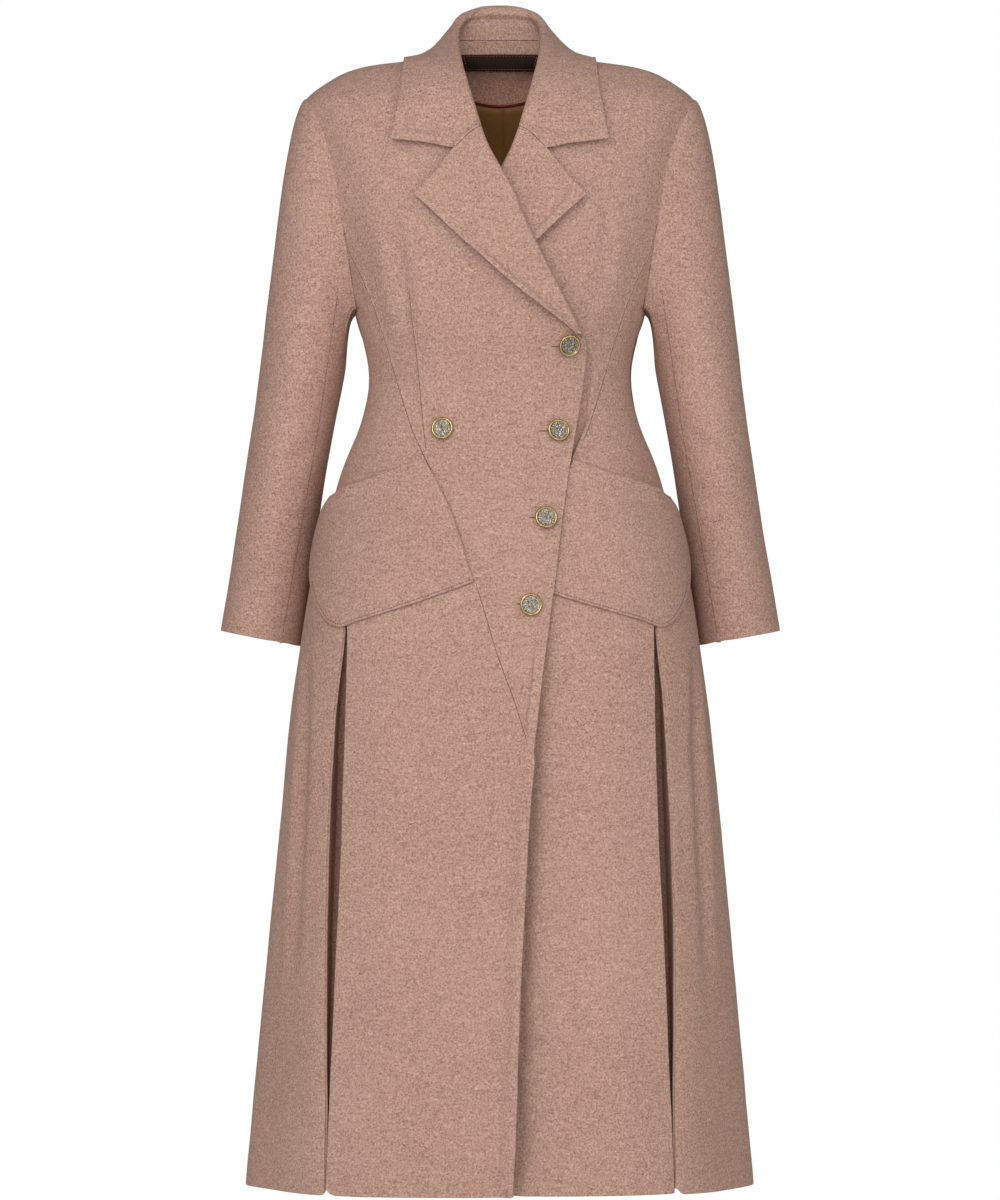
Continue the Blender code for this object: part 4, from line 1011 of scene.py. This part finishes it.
def pocketStitches(name):
    tree = treeOf(name)
    middle = np.array(pocketSet["middle"][name])
    rim = []
    for turn in np.radians(np.linspace(*pocketSet["turns"][name], pocketSet["rays"])):
        way = np.array([math.cos(turn), math.sin(turn)])
        low, high = 0.0, pocketSet["reach"]
        for _ in range(pocketSet["halvings"]):
            half = 0.5 * (low + high)
            low, high = (half, high) if hit(tree, *rayThrough(*(middle + way * half))) else (low, half)
        rim.append(middle + way * low)
    rim = spaced(rim, pocketSet["spacing"])
    along = unit(np.gradient(rim, axis=0))
    inward = np.stack([-along[:, 1], along[:, 0]], 1)
    inward *= np.sign(np.sum(inward * (middle - rim), 1, keepdims=True))
    places, outward = laidAlong(tree, rim + inward * pocketSet["inset"])
    stitched(camel(name) + "Stitches", places, outward, pocketSet["stitch"], "threadWithPaintedShade")


pocketStitches("right_pocket")
pocketStitches("left_pocket")
print("front sewn")

# the neck's inside: label stitches, the piping and the lining's middle fold
neckSet = {
    # the label's four rows, in photograph pixels
    "rows": {"Top": [(463.0, 56.4), (537.2, 56.4)], "Bottom": [(466.4, 69.8), (533.8, 69.8)],
             "Right": [(464.0, 57.2), (466.6, 69.0)], "Left": [(536.6, 57.2), (533.6, 69.0)]},
    "step": 0.5,
    "stitch": {"long": 0.0024, "gap": 0.0011, "thick": 0.00042},    # metres
    "slant": 0.0006,
    "pipingLevels": 2,
    "fold": [(-0.0030, 0.0), (-0.0012, 0.0003), (-0.0003, 0.0005), (0.0, 0.0001), (0.0015, 0.0)],
    "foldAside": 0.004,
    "foldHeights": (-0.046, -0.224),
    "foldRays": 60,
    "foldFade": 0.04,
}


def labelStitches():
    tree = treeOf("label")
    for word, path in neckSet["rows"].items():
        places, outward = laidAlong(tree, path, neckSet["step"])
        stitched("labelStitches" + word, places, outward, neckSet["stitch"], "labelThread", neckSet["slant"])


def neckPiping():
    mesh = subdivided(cageOf(nodes["facing_piping"], None), neckSet["pipingLevels"])
    smoothFaces(mesh)
    addPiece("neckPiping", mesh, "piping", ["facing_piping"])


def liningFold():
    tree = treeOf("back_lining")
    heights = np.linspace(*neckSet["foldHeights"], neckSet["foldRays"])
    found = [hit(tree, (neckSet["foldAside"], 0.0, height), (0.0, 1.0, 0.0)) for height in heights]
    strip("liningFold", *split(found), neckSet["fold"], "lining", "lining", neckSet["foldFade"])


labelStitches()
neckPiping()
liningFold()
print("neck finished")


# stage: floor, lights, camera (metres)
stageSet = {
    "floor": -1.34,
    "floorRadius": 1.2,
    "floorGlow": 0.25,
    "key": {"place": (-0.9, -3.8, 1.7), "aim": (0.0, 0.0, -0.6), "size": 1.8, "power": 36.0},
    "dome": 1.12,       # brightness of the pale half room in front
    "domeEdge": (0.16, 2.2),    # where it starts and how quickly it comes up
    "lean": 0.2,        # how much brighter it is overhead
    "rear": 0.42,       # a dimmer one behind
    "rearEdge": (0.35, 3.0),
    "side": 0.06,
}


def addFloor():
    disc = bmesh.new()
    bmesh.ops.create_circle(disc, cap_ends=True, segments=96, radius=stageSet["floorRadius"])
    mesh = meshFrom(disc, "paleFloor")
    finish = Finish("pale floor", **{"Roughness": 0.9, "Base Color": (0.9, 0.9, 0.9, 1.0),
                                     "Emission Color": (1.0, 1.0, 1.0, 1.0),
                                     "Emission Strength": stageSet["floorGlow"]})
    mesh.materials.append(finish.material)
    floor = addObject("paleFloor", mesh)
    floor.location = (0.0, 0.0, stageSet["floor"])


def addLight(name, settings):
    lamp = bpy.data.lights.new(name, "AREA")
    lamp.shape = "DISK"
    lamp.size = settings["size"]
    lamp.energy = settings["power"]
    made = addObject(name, lamp)
    made.location = settings["place"]
    aim = Vector(settings["aim"]) - made.location
    made.rotation_euler = aim.to_track_quat("-Z", "Y").to_euler()


def addRoom():
    # a pale half room that lights the coat from the front; the camera itself sees plain white
    world = bpy.data.worlds.new("paleStudio")
    world.use_nodes = True
    world.node_tree.nodes.clear()
    room = Finish("paleStudio", world.node_tree)
    way = room.node("ShaderNodeTexCoord", out="Generated")
    toward = {"operation": "DOT_PRODUCT"}
    ahead = room.node("ShaderNodeVectorMath", toward, {0: way, 1: (0.0, -1.0, 0.0)}, "Value")
    above = room.node("ShaderNodeVectorMath", toward, {0: way, 1: (0.0, 0.0, 1.0)}, "Value")
    start, slope = stageSet["domeEdge"]
    half = ((ahead - start) * slope).atLeast(0.0).atMost(1.0)
    start, slope = stageSet["rearEdge"]
    behind = ((0.0 - ahead - start) * slope).atLeast(0.0).atMost(1.0)
    front = half * stageSet["dome"] * (1.0 + above * stageSet["lean"])
    strength = stageSet["side"] + front + behind * stageSet["rear"]
    white = (1.0, 1.0, 1.0)
    lit = room.node("ShaderNodeBackground", None, {"Color": white, "Strength": strength})
    seen = room.node("ShaderNodeBackground", None, {"Color": white})
    direct = room.node("ShaderNodeLightPath", out="Is Camera Ray")
    shown = room.node("ShaderNodeMixShader", None, {0: direct, 1: lit, 2: seen})
    room.node("ShaderNodeOutputWorld", None, {"Surface": shown}, None)
    bpy.context.scene.world = world


def addCamera():
    view = bpy.data.cameras.new("photoCamera")
    view.lens = cameraSet["lens"]
    view.sensor_width = cameraSet["film"]
    view.clip_start, view.clip_end = 0.1, 60.0
    camera = addObject("photoCamera", view)
    camera.location = cameraSet["place"]
    camera.rotation_euler = (math.pi / 2, 0.0, 0.0)
    bpy.context.scene.camera = camera


addFloor()
addLight("keyLight", stageSet["key"])
addRoom()
addCamera()
bpy.context.scene.view_settings.view_transform = "Standard"
print("stage set")
